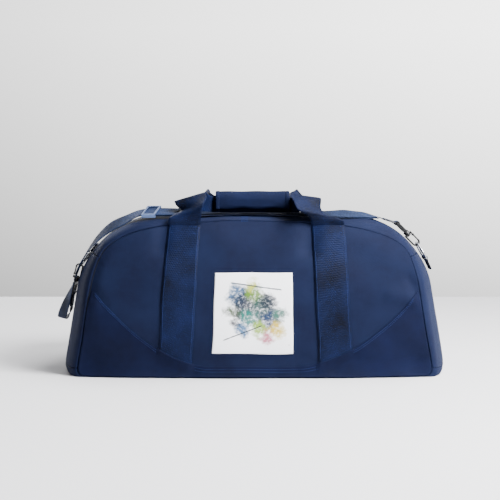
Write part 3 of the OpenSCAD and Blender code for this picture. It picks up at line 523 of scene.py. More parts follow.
# Distances in mm along a grid from its first row, last row, first column and last column
def edgeDistances(p):
    down = np.linalg.norm(np.diff(p, axis=0), axis=2)
    along = np.linalg.norm(np.diff(p, axis=1), axis=2)
    zero = np.zeros((1, p.shape[1]))
    fromTop = np.concatenate([zero, np.cumsum(down, 0)], 0)
    zero = np.zeros((p.shape[0], 1))
    fromLeft = np.concatenate([zero, np.cumsum(along, 1)], 1)
    return fromTop, fromTop[-1:] - fromTop, fromLeft, fromLeft[:, -1:] - fromLeft


# An object at the origin with its points, in mm, in its mesh
def meshObject(name, points, faces, material, uv=None, smooth=True):
    mesh = bpy.data.meshes.new(name)
    mesh.from_pydata((np.asarray(points) * mm).tolist(), [], [tuple(f) for f in faces])
    if uv is not None:
        layer = mesh.uv_layers.new(name="UVMap")
        index = np.zeros(len(mesh.loops), np.int32)
        mesh.loops.foreach_get("vertex_index", index)
        layer.data.foreach_set("uv", np.asarray(uv, np.float32)[index].ravel())
    mesh.polygons.foreach_set("use_smooth", [smooth] * len(mesh.polygons))
    mesh.materials.append(material)
    mesh.update()
    piece = bpy.data.objects.new(name, mesh)
    bpy.context.scene.collection.objects.link(piece)
    return piece


# A closed sheet of cloth between two grids of points; outer is the face seen
def clothSlab(name, outer, inner, material, uvSize=None):
    rows, cols = outer.shape[:2]
    count = rows * cols
    index = np.arange(count).reshape(rows, cols)
    corners = index[:-1, :-1], index[:-1, 1:], index[1:, 1:], index[1:, :-1]
    top = np.stack([c.ravel() for c in corners], 1)
    r, q = rows // 2, cols // 2
    n = np.cross(outer[r, min(q + 1, cols - 1)] - outer[r, q - 1], outer[r + 1, q] - outer[r - 1, q])
    if n @ (outer[r, q] - inner[r, q]) < 0:
        top = top[:, ::-1]
        rim = np.concatenate([index[0, ::-1], index[1:, 0], index[-1, 1:], index[-2:0:-1, -1]])
    else:
        rim = np.concatenate([index[0, :], index[1:, -1], index[-1, -2::-1], index[-2:0:-1, 0]])
    low = top[:, ::-1] + count
    after = np.roll(rim, -1)
    side = np.stack([after, rim, rim + count, after + count], 1)
    faces = np.concatenate([top, low, side])
    fromTop, fromLeft = edgeDistances(outer)[::2]
    uv = np.stack([fromLeft, fromTop], 2).reshape(-1, 2) * mm if uvSize is None else uvSize.reshape(-1, 2)
    points = np.concatenate([outer.reshape(-1, 3), inner.reshape(-1, 3)])
    return meshObject(name, points, faces, material, np.concatenate([uv, uv]))


# A closed skin from rings of points; the first and last ring meet when looped, and are capped when not
def ringMesh(name, rings, material, looped=False, cap=True):
    count, sides = len(rings), len(rings[0])
    faces = []
    for i in range(count if looped else count - 1):
        for j in range(sides):
            a, b = i * sides + j, i * sides + (j + 1) % sides
            c, d = ((i + 1) % count) * sides + (j + 1) % sides, ((i + 1) % count) * sides + j
            faces.append((a, b, c, d))
    if not looped and cap:
        faces.append(tuple(range(sides))[::-1])
        faces.append(tuple((count - 1) * sides + j for j in range(sides)))
    return meshObject(name, np.concatenate(rings), faces, material)


# Turns a closed mesh's faces outwards
def faceOut(piece):
    mesh = bmesh.new()
    mesh.from_mesh(piece.data)
    bmesh.ops.recalc_face_normals(mesh, faces=mesh.faces)
    mesh.to_mesh(piece.data)
    mesh.free()


pieces = {}


# Rides a finished piece on its body and names what it stands for
def place(piece, body, replaces=()):
    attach(piece, body)
    if replaces:
        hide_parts(*replaces)
    pieces[piece.name] = piece
    return piece


# Steps that run evenly between stops, a count of them each
def spread(stops, counts):
    parts = [np.linspace(a, b, n, endpoint=False) for a, b, n in zip(stops, stops[1:], counts)]
    return np.concatenate(parts + [[stops[-1]]])


# Steps from low to high that crowd close to both ends
def eased(low, high, count, close=0.5):
    t = np.linspace(0, 1, count)
    w = t - close * np.sin(2 * math.pi * t) / (2 * math.pi) * 1.9
    return low + (high - low) * w


print("bag shape ready")


shell = {"thick": 1.6, "seamRoll": 2.6, "crossRoll": 1.8, "zipHalfGap": 7.0, "zipWidth": 16.2,
         "tapeSunk": 1.6, "tapeThick": 0.8, "tapeGap": 0.2, "lowerLift": 1.2, "lowerThick": 1.0,
         "leftRecess": 4.5, "recessAt": 150, "recessHigh": 62, "recessWide": 11, "rightSoft": 0.35,
         "upperSoft": 0.4, "webLift": 2.3, "bindingWide": 1.7, "bindingDeep": 3.6}
seamLine = outline("seam", np.linspace(0, 30, 181))


# How far edges turn in at the panel seams: deep at the left, pulled nearly flat at the upper right
def seamRollAt(x, z):
    soft = shell["rightSoft"] + shell["upperSoft"] * fadeIn(z, 120, 40)
    return shell["seamRoll"] * (1 - fadeIn(x, 110, 60) * soft)


# Distance in the XZ plane from a panel's place to the panel's seam
def seamDistance(x, z):
    a, b = seamLine[:-1], seamLine[1:]
    p = np.stack([np.abs(x).ravel(), z.ravel()], 1)
    best = np.full(len(p), 1e9)
    for start, end in zip(a, b):
        d = end - start
        t = np.clip(((p - start) @ d) / max(d @ d, 1e-9), 0, 1)
        best = np.minimum(best, np.linalg.norm(p - start - t[:, None] * d, axis=1))
    return best.reshape(x.shape)


# A place on the front (side -1) or back panel, lifted off its face
def onPanel(side, x, z, lift):
    return np.stack([x, side * (halfDepth(x, z) + lift), z], -1)


# Normals of a grid that point away from the middle of the bag
def outwards(p):
    n = gridNormals(p)
    away = p - np.array([0, 0, 120.0])
    return n if (n * away).sum() > 0 else -n


# The panels sit back beside their left end seam
def edgeRecess(x, z, s):
    height = np.exp(-((z - shell["recessAt"]) / shell["recessHigh"]) ** 2)
    beside = np.exp(-(s / shell["recessWide"]) ** 2)
    return fadeIn(-x, 190, 40) * shell["leftRecess"] * beside * height


def makePanel(side, name, node):
    ks = spread([1, crownEnd, shoulderEnd, sideEnd, cornerEnd], [16, 46, 30, 9])
    edge = outline("seam", ks)
    u = eased(-1, 1, 150)
    x = edge[:, :1] * u[None, :]
    z = np.repeat(edge[:, 1:], len(u), 1)
    s = seamDistance(x, z)
    sunk = rollIn(s, seamRollAt(x, z)) + edgeRecess(x, z, s)
    outer = onPanel(side, x, z, -sunk)
    inner = onPanel(side, x * 0.996, z, -sunk - shell["thick"])
    piece = clothSlab(name, settle(outer), settle(inner), finish["shell"])
    return place(piece, "root", [node])


def smileHeight(x):
    reach = bag["halfLength"] - bag["seamInSide"] - 3 - bag["smileFlat"]
    rise = bag["smileRise"] * np.maximum(0, (np.abs(x) - bag["smileFlat"]) / reach) ** 1.8
    left = fadeIn(-x, 150, 70) * fadeIn(x, -275, 40)
    return bag["smileLow"] + rise + bag["leftLift"] * left


# Handle webbing: x of each web's middle at its foot and at the top seam, left to right, front then back
webs = {"width": 50.0, "thick": 1.8, "top": 232.0, "tuck": 4.0, "ribPitch": 3.4, "ribHigh": 0.32,
        "feet": {-1: (-120.5, 122.5), 1: (-121.0, 121.0)}, "tops": {-1: (-107.5, 112.0), 1: (-108.0, 108.0)},
        "gripHalf": 13.0, "gripHeight": 262.0}


# 1 where a web's tucked end lifts the lower panel, 0 away from it
def webCover(side, x, z):
    cover = np.zeros_like(x)
    for foot in webs["feet"][side]:
        across = np.clip((webs["width"] / 2 + 2.5 - np.abs(x - foot)) / 2.5, 0, 1)
        down = np.clip(1 - (smileHeight(x) - z) / 15, 0, 1)
        cover = np.maximum(cover, across * down)
    return cover


def makeLowerPanel(side, name, node):
    ks = np.concatenate([np.linspace(baseEnd, cornerEnd, 50, endpoint=False),
                         np.linspace(cornerEnd, sideEnd, 14, endpoint=False), np.linspace(sideEnd, 14, 30)])
    right = outline("seam", ks, 1.6)
    run = np.concatenate([[0], np.cumsum(np.linalg.norm(np.diff(right, axis=0), axis=1))])
    tipX = bag["halfLength"] - bag["seamInSide"] - 3
    topX = tipX * run / run[-1]
    top = np.stack([topX, smileHeight(topX)], 1)
    low = np.concatenate([right[:0:-1] * [-1, 1], right])
    top = np.concatenate([top[:0:-1] * [-1, 1], top])
    r = eased(0, 1, 44)[:, None, None]
    flat = top[None] + (low - top)[None] * r
    x, z = flat[..., 0], flat[..., 1]
    s = seamDistance(x, z)
    gap = np.maximum(0, smileHeight(x) - z)
    sunk = rollIn(s, seamRollAt(x, z)) + edgeRecess(x, z, s) + rollIn(gap, 1.4)
    lift = shell["lowerLift"] + shell["webLift"] * webCover(side, x, z)
    outer = onPanel(side, x, z, lift - sunk)
    inner = onPanel(side, x, z, lift - sunk - shell["lowerThick"])
    piece = clothSlab(name, settle(outer), settle(inner), finish["lower"])
    return place(piece, "root", [node])


# A strip of the band round the bag. rolls are the radii its four edges turn in by
def makeBand(name, ks, jsOf, rolls, node, material="shell", sunk=0.0, thick=None,
             slackOn=True):
    js = np.stack([jsOf(k) for k in ks])
    outer = bandPoint(ks[:, None], js, sunk)
    n = outwards(outer)
    turned = np.zeros(outer.shape[:2])
    for distance, radius in zip(edgeDistances(outer), rolls):
        if radius == "seam":
            radius = seamRollAt(outer[..., 0], outer[..., 2])
        turned = np.maximum(turned, rollIn(distance, radius))
    outer = outer - n * turned[..., None]
    inner = outer - n * (shell["thick"] if thick is None else thick)
    if slackOn:
        outer, inner = settle(outer), settle(inner)
    piece = clothSlab(name, outer, inner, finish[material])
    return place(piece, "root", [node])


def baseStep(m):
    return np.where(m < 0, -(baseEnd + m), baseEnd - m)


# Dark tape bound over the raw edges, deep in each panel's seam
def makeBinding(side, word):
    half = outline("seam", np.linspace(0, 30, 241))
    loop = np.concatenate([half, half[-2:0:-1] * [-1, 1]])
    line = onPanel(side, loop[:, 0], loop[:, 1], -shell["bindingDeep"])
    ahead = np.roll(line, -1, 0) - np.roll(line, 1, 0)
    ahead /= np.linalg.norm(ahead, axis=1, keepdims=True)
    out = np.cross(ahead, [0, side, 0])
    turns = np.linspace(0, 2 * math.pi, 8, endpoint=False)
    across = np.array([0, 1, 0])
    rings = [settle(p + shell["bindingWide"] * (np.cos(turns)[:, None] * o + np.sin(turns)[:, None] * across))
             for p, o in zip(line, out)]
    piece = ringMesh("seamBinding" + word, rings, finish["binding"], looped=True)
    faceOut(piece)
    place(piece, "root", ["seam_binding_" + word.lower()])


def makeShell():
    makePanel(-1, "frontPanelCloth", "front_panel")
    makePanel(1, "backPanelCloth", "back_panel")
    makeLowerPanel(-1, "frontLowerCloth", "front_lower_panel")
    makeLowerPanel(1, "backLowerCloth", "back_lower_panel")
    cross = shell["crossRoll"]
    topKs = eased(-crossSeam, crossSeam, 150, 0.3)
    across = eased(0, 1, 34)
    for side, word in ((-1, "Front"), (1, "Back")):
        makeBand("topGusset" + word, topKs,
                 lambda k: side * (1 + (levelStep(k, shell["zipHalfGap"])[0] - 1) * across),
                 (cross, cross, "seam", 0.8), "top_gusset_" + word.lower())
    wide = eased(-1, 1, 72, 0.6)
    for side, word in ((-1, "Left"), (1, "Right")):
        makeBand("endGusset" + word, side * eased(crossSeam, sideEnd, 60), lambda k: wide,
                 (cross, cross, "seam", "seam"), "end_gusset_" + word.lower())
    steps = spread([-12, -8, 8, 12], [16, 60, 16])
    makeBand("baseCloth", baseStep(steps), lambda k: eased(-1, 1, 64, 0.6), (cross, cross, "seam", "seam"),
             "bottom_panel")
    tapeEnd = crossSeam + 0.12  # just under the end gussets
    share = np.linspace(0, 1, 9)
    for side, word in ((-1, "Front"), (1, "Back")):
        def tapeAcross(k):
            far, near = levelStep(k, shell["zipWidth"])[0], levelStep(k, shell["tapeGap"])[0]
            return side * (far + (near - far) * share)

        makeBand("zipTape" + word, np.linspace(-tapeEnd, tapeEnd, 100), tapeAcross, (0, 0, 0, 0),
                 "zip_tape_" + word.lower(), "tape", sunk=shell["tapeSunk"],
                 thick=shell["tapeThick"], slackOn=False)
        makeBinding(side, word)
    print("shell sewn")


makeShell()


# Values along a run of stops, each a row of numbers, on a centripetal spline through them
def smoothPath(stops, samples):
    p = np.asarray(stops, float)
    p = np.concatenate([[2 * p[0] - p[1]], p, [2 * p[-1] - p[-2]]])
    gaps = np.maximum(np.linalg.norm(np.diff(p[:, :3], axis=0), axis=1), 1e-6)
    t = np.concatenate([[0], np.cumsum(gaps ** 0.5)])
    at = np.linspace(t[1], t[-2], samples)
    out = np.zeros((samples, p.shape[1]))
    for row, s in enumerate(at):
        i = min(max(np.searchsorted(t, s, side="right") - 1, 1), len(p) - 3)
        t0, t1, t2, t3 = t[i - 1:i + 3]
        a1 = p[i - 1] * (t1 - s) / (t1 - t0) + p[i] * (s - t0) / (t1 - t0)
        a2 = p[i] * (t2 - s) / (t2 - t1) + p[i + 1] * (s - t1) / (t2 - t1)
        a3 = p[i + 1] * (t3 - s) / (t3 - t2) + p[i + 2] * (s - t2) / (t3 - t2)
        b1 = a1 * (t2 - s) / (t2 - t0) + a2 * (s - t0) / (t2 - t0)
        b2 = a2 * (t3 - s) / (t3 - t1) + a3 * (s - t1) / (t3 - t1)
        out[row] = b1 * (t2 - s) / (t2 - t1) + b2 * (s - t1) / (t2 - t1)
    return out


# The same path with its rows an even distance apart
def evenRows(path, spacing):
    run = np.concatenate([[0], np.cumsum(np.linalg.norm(np.diff(path[:, :3], axis=0), axis=1))])
    count = max(3, int(run[-1] / spacing) + 1)
    at = np.linspace(0, run[-1], count)
    return np.stack([np.interp(at, run, path[:, c]) for c in range(path.shape[1])], 1)


# Rows of points across a ribbon. Each row of path is a middle, a width direction and a half width
def ribbonRows(path, columns=15):
    wide = path[:, 3:6] / np.linalg.norm(path[:, 3:6], axis=1, keepdims=True)
    c = np.linspace(-1, 1, columns)
    return path[:, None, :3] + wide[:, None, :] * path[:, None, 6:7] * c[None, :, None]


# A ribbed strip from rows of points; facing is a row and a direction that its seen side looks to
def webbingSlab(name, rows, thick, material, ribPitch, ribHigh, facing):
    n = gridNormals(rows)
    row, direction = facing
    if n[row, rows.shape[1] // 2] @ np.array(direction, float) < 0:
        n = -n
    down = edgeDistances(rows)[0].mean(1)
    rib = 0.5 - 0.5 * np.cos(2 * math.pi * down / ribPitch)
    width = np.linspace(-1, 1, rows.shape[1])
    selvedge = 1 - np.abs(width) ** 12
    body = np.broadcast_to(thick, len(rows))[:, None] / 2 * (0.45 + 0.55 * selvedge)[None, :]
    height = body + ribHigh * (rib[:, None] - 1) * selvedge[None, :]
    outer, inner = rows + n * height[..., None], rows - n * height[..., None]
    return clothSlab(name, outer, inner, material)


# Each free part of a handle: middle, width direction, half width; from the top seam to the grip
loops = {
    ("front", "left"): [(-107.5, -120, 232, 1, 0, 0, 25), (-106.5, -121.5, 240.5, 0.98, -0.1, 0, 25),
                        (-102.5, -122, 248.5, 0.86, -0.45, 0.08, 25),
                        (-94.5, -117, 258, 0.68, -0.68, 0.2, 25),
                        (-97, -104, 268.5, 0.9, -0.2, 0.28, 25), (-99.5, -94, 274, 0.94, 0.1, 0.27, 25),
                        (-96, -80, 271, 0.86, 0.2, 0.36, 25), (-88, -60, 266.5, 0.6, 0.2, 0.7, 20),
                        (-76, -39, 262, 0.3, 0.1, 0.95, 15), (-66, -27, 260.5, 0.05, 0, 1, 13)],
    ("front", "right"): [(112, -120, 232, -1, 0, 0, 25), (110, -123, 239.5, -1, 0, 0.05, 25),
                         (103, -124.5, 245, -0.95, -0.1, 0.12, 25),
                         (87, -126.5, 251.5, -0.86, -0.35, 0.2, 25),
                         (79.5, -116, 264, -0.82, -0.4, 0.25, 25), (77.5, -97, 275, -0.97, 0.05, 0.12, 24.5),
                         (77.5, -78, 272, -0.85, 0.2, 0.36, 23), (74, -57, 267.5, -0.55, 0.2, 0.78, 17),
                         (66, -37, 262.5, -0.25, 0.1, 0.95, 14), (58, -26.5, 260.5, 0, 0, 1, 13)],
    ("back", "left"): [(-108, 120, 232, 1, 0, 0, 25), (-107.5, 121.5, 241, 1, 0, 0, 25),
                       (-106, 122, 249, 1, 0, 0.05, 25), (-103, 115, 260, 0.97, 0, 0.12, 25),
                       (-100, 97, 268.5, 0.95, 0, 0.3, 25), (-96, 75, 271.5, 0.9, 0, 0.36, 24),
                       (-91, 46, 271, 0.75, 0, 0.62, 21), (-83, 18, 269.5, 0.45, 0, 0.9, 16.5),
                       (-74.5, -4, 267, 0.2, 0, 0.98, 13.5), (-65, -17.5, 262.5, 0, 0, 1, 13)],
    ("back", "right"): [(108, 120, 232, -1, 0, 0, 25), (107, 121.5, 240.5, -1, 0, 0, 25),
                        (103, 123, 246, -0.97, -0.05, 0.08, 25), (91, 119, 255, -0.9, -0.2, 0.25, 25),
                        (88, 103, 263.5, -0.92, 0, 0.3, 25), (86, 80, 268.5, -0.88, 0.1, 0.38, 24),
                        (84, 50, 269.5, -0.72, 0, 0.66, 21), (76, 18, 269.5, -0.45, 0, 0.9, 16.5),
                        (66, -4, 267, -0.2, 0, 0.98, 13.5), (59, -17.5, 262.5, 0, 0, 1, 13)],
}


def sewnRows(side, which, columns):
    foot, top = webs["feet"][side][which], webs["tops"][side][which]
    turn = 1 if which == 0 else -1
    u = np.linspace(0, 1, 360)
    c = np.linspace(-1, 1, columns) * turn * webs["width"] / 2
    x = foot + (top - foot) * u[:, None] + c[None, :]
    z0 = smileHeight(x) - webs["tuck"]
    z = z0 + (webs["top"] - z0) * u[:, None]
    rows = settle(onPanel(side, x, z, 0.4 + webs["thick"] / 2))
    run = np.concatenate([[0], np.cumsum(np.linalg.norm(np.diff(rows.mean(1), axis=0), axis=1))])
    at = np.linspace(0, run[-1], int(run[-1] / (webs["ribPitch"] / 6)))
    flat = rows.reshape(len(u), -1)
    rows = np.stack([np.interp(at, run, flat[:, i]) for i in range(flat.shape[1])], 1)
    return rows.reshape(len(at), columns, 3)


def makeHandle(side, word, gripY):
    columns, spacing = 15, webs["ribPitch"] / 6
    half = {}
    for which, end in ((0, "left"), (1, "right")):
        sewn = sewnRows(side, which, columns)
        stops = [list(s) for s in loops[(word, end)]]
        stops[0][:3] = sewn[-1].mean(0)
        free = ribbonRows(evenRows(smoothPath(stops, 260), spacing), columns)
        offset = sewn[-1] - free[0]
        fade = np.clip(1 - np.arange(len(free)) * spacing / 14, 0, 1)[:, None, None]
        half[end] = np.concatenate([sewn, (free + offset * fade)[1:]])
    inGrip = [[x, gripY, webs["gripHeight"], 0, 0, 1, webs["gripHalf"]] for x in (-40, 0, 36)]
    inside = [list(loops[(word, "left")][-1]), *inGrip, list(loops[(word, "right")][-1])]
    middle = ribbonRows(evenRows(smoothPath(inside, 200), spacing), columns)
    rows = np.concatenate([half["left"], middle[1:-1], half["right"][::-1]])
    halfWidth = np.linalg.norm(rows[:, -1] - rows[:, 0], axis=1) / 2
    folded = np.clip((webs["width"] / 2 - halfWidth) / (webs["width"] / 2 - webs["gripHalf"]), 0, 1)
    thick = webs["thick"] * (1 + folded)
    piece = webbingSlab("carryHandle" + word.capitalize(), rows, thick, finish["web"], webs["ribPitch"],
                        webs["ribHigh"], (40, (0, side, 0)))
    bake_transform(piece)
    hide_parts(f"{word}_web_left", f"{word}_web_right", f"handle_loop_{word}")
    pieces[piece.name] = piece


makeHandle(-1, "front", -23.4)
makeHandle(1, "back", -18.6)
print("handles folded")


wrap = {"middle": (-3.0, -21.0, 262.5), "length": 116.0, "depth": 23.0, "height": 33.0, "round": 8.0,
        "cavity": (9.2, 26.8), "sleeveUnder": 1.3, "flapInside": 2.1, "flapThick": 2.4, "flapLow": 8.0,
        "voxel": 2.2, "flapVoxel": 1.1, "sleeveCap": 1.3, "flapCap": 0.9, "hemThick": 0.55}


# A rounded rectangle's outline, anticlockwise from the middle of its right side
def roundOutline(width, height, radius, count):
    corners = [(width / 2 - radius, height / 2 - radius, 0), (radius - width / 2, height / 2 - radius, 90),
               (radius - width / 2, radius - height / 2, 180), (width / 2 - radius, radius - height / 2, 270)]
    points = []
    for x, y, start in corners:
        for a in np.radians(np.linspace(start, start + 90, 9)):
            points.append((x + radius * math.cos(a), y + radius * math.sin(a)))
    points.append(points[0])
    run = evenRows(np.array([(px, py, 0.0) for px, py in points]), 0.5)
    at = np.linspace(0, len(run) - 1, count + 1)[:-1]
    return np.stack([np.interp(at, np.arange(len(run)), run[:, i]) for i in (0, 1)], 1)


def applied(piece):
    graph = bpy.context.evaluated_depsgraph_get()
    mesh = bpy.data.meshes.new_from_object(piece.evaluated_get(graph))
    piece.modifiers.clear()
    piece.data = mesh


# Swells a pad as cloth: remeshed, blown up a little, and capped at how far a point may move
def inflate(piece, voxel, cap):
    remesh = piece.modifiers.new("remesh", "REMESH")
    remesh.mode = "VOXEL"
    remesh.voxel_size = voxel * mm
    applied(piece)
    start = np.zeros(len(piece.data.vertices) * 3)
    piece.data.vertices.foreach_get("co", start)
    cloth = piece.modifiers.new("swell", "CLOTH")
    cloth.settings.use_pressure = True
    cloth.settings.uniform_pressure_force = 4
    cloth.settings.effector_weights.gravity = 0
    cloth.settings.quality = 4
    cloth.point_cache.frame_start, cloth.point_cache.frame_end = 1, 20
    for step in range(1, 21):
        bpy.context.scene.frame_set(step)
    graph = bpy.context.evaluated_depsgraph_get()
    swollen = np.zeros_like(start)
    piece.evaluated_get(graph).to_mesh().vertices.foreach_get("co", swollen)
    piece.modifiers.clear()
    bpy.context.scene.frame_set(1)
    moved = (swollen - start).reshape(-1, 3)
    far = np.linalg.norm(moved, axis=1, keepdims=True)
    moved *= np.minimum(1, cap * mm / np.maximum(far, 1e-9))
    piece.data.vertices.foreach_set("co", (start.reshape(-1, 3) + moved).ravel())
    piece.data.update()


def smoothed(piece, levels=1):
    modifier = piece.modifiers.new("smooth", "SUBSURF")
    modifier.levels = modifier.render_levels = levels
    applied(piece)
    piece.data.polygons.foreach_set("use_smooth", [True] * len(piece.data.polygons))


# Gathers in the pad's outline at its ends and along its creases
def wrapShape(profile, x, halfLength):
    end = np.clip((halfLength - abs(x)) / 7, 0, 1)
    tuck = 1 - 0.045 * (1 - end) ** 2
    crease = 0.35 * math.sin(x * 0.13 + 0.7) * end
    return np.stack([np.full(len(profile), x), profile[:, 0] * tuck,
                     profile[:, 1] * tuck + crease * np.sign(profile[:, 1])], 1)


def makeWrap():
    cx, cy, cz = wrap["middle"]
    half = wrap["length"] / 2
    xs = np.concatenate([[-half], np.linspace(-half + 0.8, half - 0.8, 60), [half]])
    under = wrap["sleeveUnder"]
    outer = roundOutline(wrap["depth"] - 2 * under, wrap["height"] - 2 * under, wrap["round"] - under, 72)
    inner = roundOutline(wrap["cavity"][0] + 1, wrap["cavity"][1] + 1, 2, 72)
    rings = [wrapShape(outer, x, half) for x in xs] + [wrapShape(inner, x, half) for x in xs[::-1]]
    rings = [r + np.array([cx, cy, cz]) for r in rings]
    sleeve = ringMesh("gripSleeve", rings, finish["grip"], looped=True)
    faceOut(sleeve)
    inflate(sleeve, wrap["voxel"], wrap["sleeveCap"])
    smoothed(sleeve)
    place(sleeve, "carry_handles", ["grip_pad"])

    gap, thick = wrap["flapInside"], wrap["flapThick"]
    skin = roundOutline(wrap["depth"] + 2 * gap, wrap["height"] + 0.8, wrap["round"], 240)
    low = wrap["flapLow"] - wrap["height"] / 2
    rows = [p for p in skin if p[0] < 0.4 and p[1] > low]
    rows.sort(key=lambda p: math.atan2(p[1] - low + 4, -p[0]))
    base = np.array(rows)[::2]  # the flap's line, from its low front edge over the top
    tangent = np.gradient(base, axis=0)
    normal = np.stack([-tangent[:, 1], tangent[:, 0]], 1)
    normal /= np.linalg.norm(normal, axis=1, keepdims=True)
    if (normal * base).sum() < 0:
        normal = -normal
    edge = np.minimum(np.arange(len(base)), np.arange(len(base))[::-1]) / 4.0
    body = 0.55 + 0.45 * np.clip(edge, 0, 1)
    section = np.concatenate([base + normal * 0.35, (base + normal * (0.2 + thick * body[:, None]))[::-1]])
    rings = [wrapShape(section, x, half) + np.array([cx, cy, cz]) for x in xs]
    flap = ringMesh("gripCover", rings, finish["grip"])
    faceOut(flap)
    inflate(flap, wrap["flapVoxel"], wrap["flapCap"])
    smoothed(flap)
    place(flap, "grip_cover", ["grip_flap"])
    # folded tape round the wrap's two ends, sewn to the sleeve and to the flap
    stations = np.array([-0.7, 0.2, 1.4, 4.2, 5.4, 5.6])
    lifts = np.array([-0.5, 0.35, 0.5, 0.5, 0.3, -0.3])
    hem = roundOutline(wrap["depth"] - 0.2, wrap["height"] - 0.2, 7.8, 96)
    ends = [("carry_handles", "sleeveBinding", hem, True),
            ("grip_cover", "coverBinding", base + normal * (0.9 + thick), False)]
    for body, name, loop, closed in ends:
        outward = loop / np.linalg.norm(loop, axis=1, keepdims=True) if closed else normal
        shift = -0.6 if closed else -0.55
        for end, word in ((-1, "Left"), (1, "Right")):
            skins = []
            for deep in (0.0, wrap["hemThick"]):
                rows = []
                for s, lift in zip(stations, lifts):
                    y, z = (loop + outward * (lift + shift - deep)).T
                    rows.append(np.stack([np.full(len(loop), end * (half - s)), y, z], 1))
                skins.append(np.stack(rows) + np.array([cx, cy, cz]))
            if closed:
                rings = list(skins[0]) + list(skins[1][::-1])
                band = ringMesh(name + word, rings, finish["grip"], looped=True)
                faceOut(band)
            else:
                band = clothSlab(name + word, *skins, finish["grip"])
            place(band, body)


makeWrap()
print("grip wrapped")


straps = {"width": 32.0, "thick": 1.5, "ribPitch": 2.6, "ribHigh": 0.22, "returnDrop": 1.9,
          "ringWire": 3.5, "ringLeg": 8.0, "eyeBar": 44.0, "tail": 22.0, "eyeRadius": 2.3,
          "clipY": {1: -45.0, -1: 0.0}, "tabWidth": 28.0, "tabTail": 20.0, "tabThick": 1.5}
clipSteps = {1: [(10.78, 5.3), (9.48, 8.3), (7.46, 11.2), (6.5, 6.7)],
             -1: [(10.52, 5.3), (11.88, 9.4), (13.9, 10.5), (14.78, 9.4)]}


def unit(v):
    v = np.asarray(v, float)
    return v / np.linalg.norm(v)


# Where a clip's bar, ring, eye and strap end lie, and which way each points, in the XZ plane
def clipFrame(side):
    spots = [overOutline(k, lift) * [side, 1] for k, lift in clipSteps[side]]
    reach = straps["ringLeg"] + straps["width"] / 2 + 1 + straps["ringWire"] / 2
    ring = unit(spots[1] - spots[0])
    apex = spots[0] + ring * reach
    hook = unit(spots[2] - apex)
    eye = apex + hook * straps["eyeBar"]
    return {"bar": spots[0], "eye": eye, "tail": unit(spots[3] - eye), "y": straps["clipY"][side]}


clips = {side: clipFrame(side) for side in (1, -1)}


def stop(side, k, lift, y, wide):
    p = overOutline(k, lift)
    return [side * p[0], y, p[1], *wide, straps["width"] / 2]


def pastTail(side, far):
    p = clips[side]["eye"] + clips[side]["tail"] * (straps["tail"] + far)
    return [p[0], clips[side]["y"], p[1], 0, 1, 0, straps["width"] / 2]


def tilted(a):
    return (0, math.cos(math.radians(a)), math.sin(math.radians(a)))


def twisted(a):
    return (-math.sin(math.radians(a)), math.cos(math.radians(a)), 0)


def over(side, k, lift, inward, turn):
    return stop(side, k, lift, inward - bag["halfDepth"], tilted(turn))


def hanging(k, lift, y, turn):
    return stop(-1, k, lift, y, twisted(turn))


# The strap's stops: steps round the outline, lift, how far in from the front, and turn; then its hanging loop
rightStops = [(5.14, 3.2, 92, 12), (4.3, 2.8, 76, 15), (3.68, 3.4, 66, 18), (3.12, 3.2, 62, 14),
              (2.38, 3.6, 67, 8), (1.36, 3.6, 73, 0)]
leftStops = [(0, 3.6, 75, 0), (1.36, 3.8, 73, 0), (2.38, 4.6, 67, 8), (3.02, 5.8, 62, 16), (3.7, 6.3, 64, 18),
             (4.44, 6.9, 68, 18), (5.34, 7.4, 72, 18), (6.36, 4.8, 74, 26), (7.6, 6.2, 77, 30),
             (8.9, 5.6, 82, 24), (10.26, 4.8, 88, 12), (11.72, 4.2, 93, 0)]
loopStops = [(12.94, 4.4, -57, 6), (13.7, 8.4, -57, 17), (14.36, 11.8, -54, 28), (14.92, 14.6, -48, 33),
             (15.3, 16.8, -39, 33), (15.5, 17.6, -27, 33), (15.56, 15.8, -14, 26), (15.4, 11.2, -5, 12)]
route = ([pastTail(1, 0.8), pastTail(1, 9)] + [over(1, *s) for s in rightStops]
         + [over(-1, *s) for s in leftStops] + [hanging(*s) for s in loopStops]
         + [pastTail(-1, 7), pastTail(-1, 0.8)])


# The strap's rows from one stop to another along its smooth route
def strapRows(first, last, drop=0.0):
    dense = smoothPath(route, 1600)
    stops = np.array(route)[:, :3]
    a = int(np.argmin(np.linalg.norm(dense[:, :3] - stops[first], axis=1)))
    b = int(np.argmin(np.linalg.norm(dense[:, :3] - stops[last], axis=1)))
    rows = ribbonRows(evenRows(dense[a:b + 1], straps["ribPitch"] / 5), 11)
    if drop:
        n = gridNormals(rows)
        n *= np.sign((n[..., 2:]).sum())
        rows = rows - n * drop
    return rows


def makeStrap():
    middle = 8  # the stop over the bag's middle
    toRight = {"start": (0.12, -0.075, 0.24), "end": (0.2, -0.05, 0.2)}
    toLeft = {"start": (-0.3, -0.045, 0.1), "end": (-0.3, -0.012, 0.1)}
    runs = [("strapRight", strapRows(0, middle), 20, "clip_right", toRight, "shoulder_strap"),
            ("strapLeft", strapRows(middle, len(route) - 1), 20, "clip_left", toLeft, None),
            ("strapReturn", strapRows(1, 13, straps["returnDrop"])[:-8], 40, "clip_right", toRight,
             "strap_return")]
    for name, rows, row, clip, turn, node in runs:
        piece = webbingSlab(name, rows, straps["thick"], finish["strap"], straps["ribPitch"],
                            straps["ribHigh"], (row, (0, 0, 1)))
        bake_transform(piece)
        if node:
            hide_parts(node)
        pieces[name] = piece
    print("strap laid, mm long:", round((len(runs[0][1]) + len(runs[1][1])) * straps["ribPitch"] / 5))


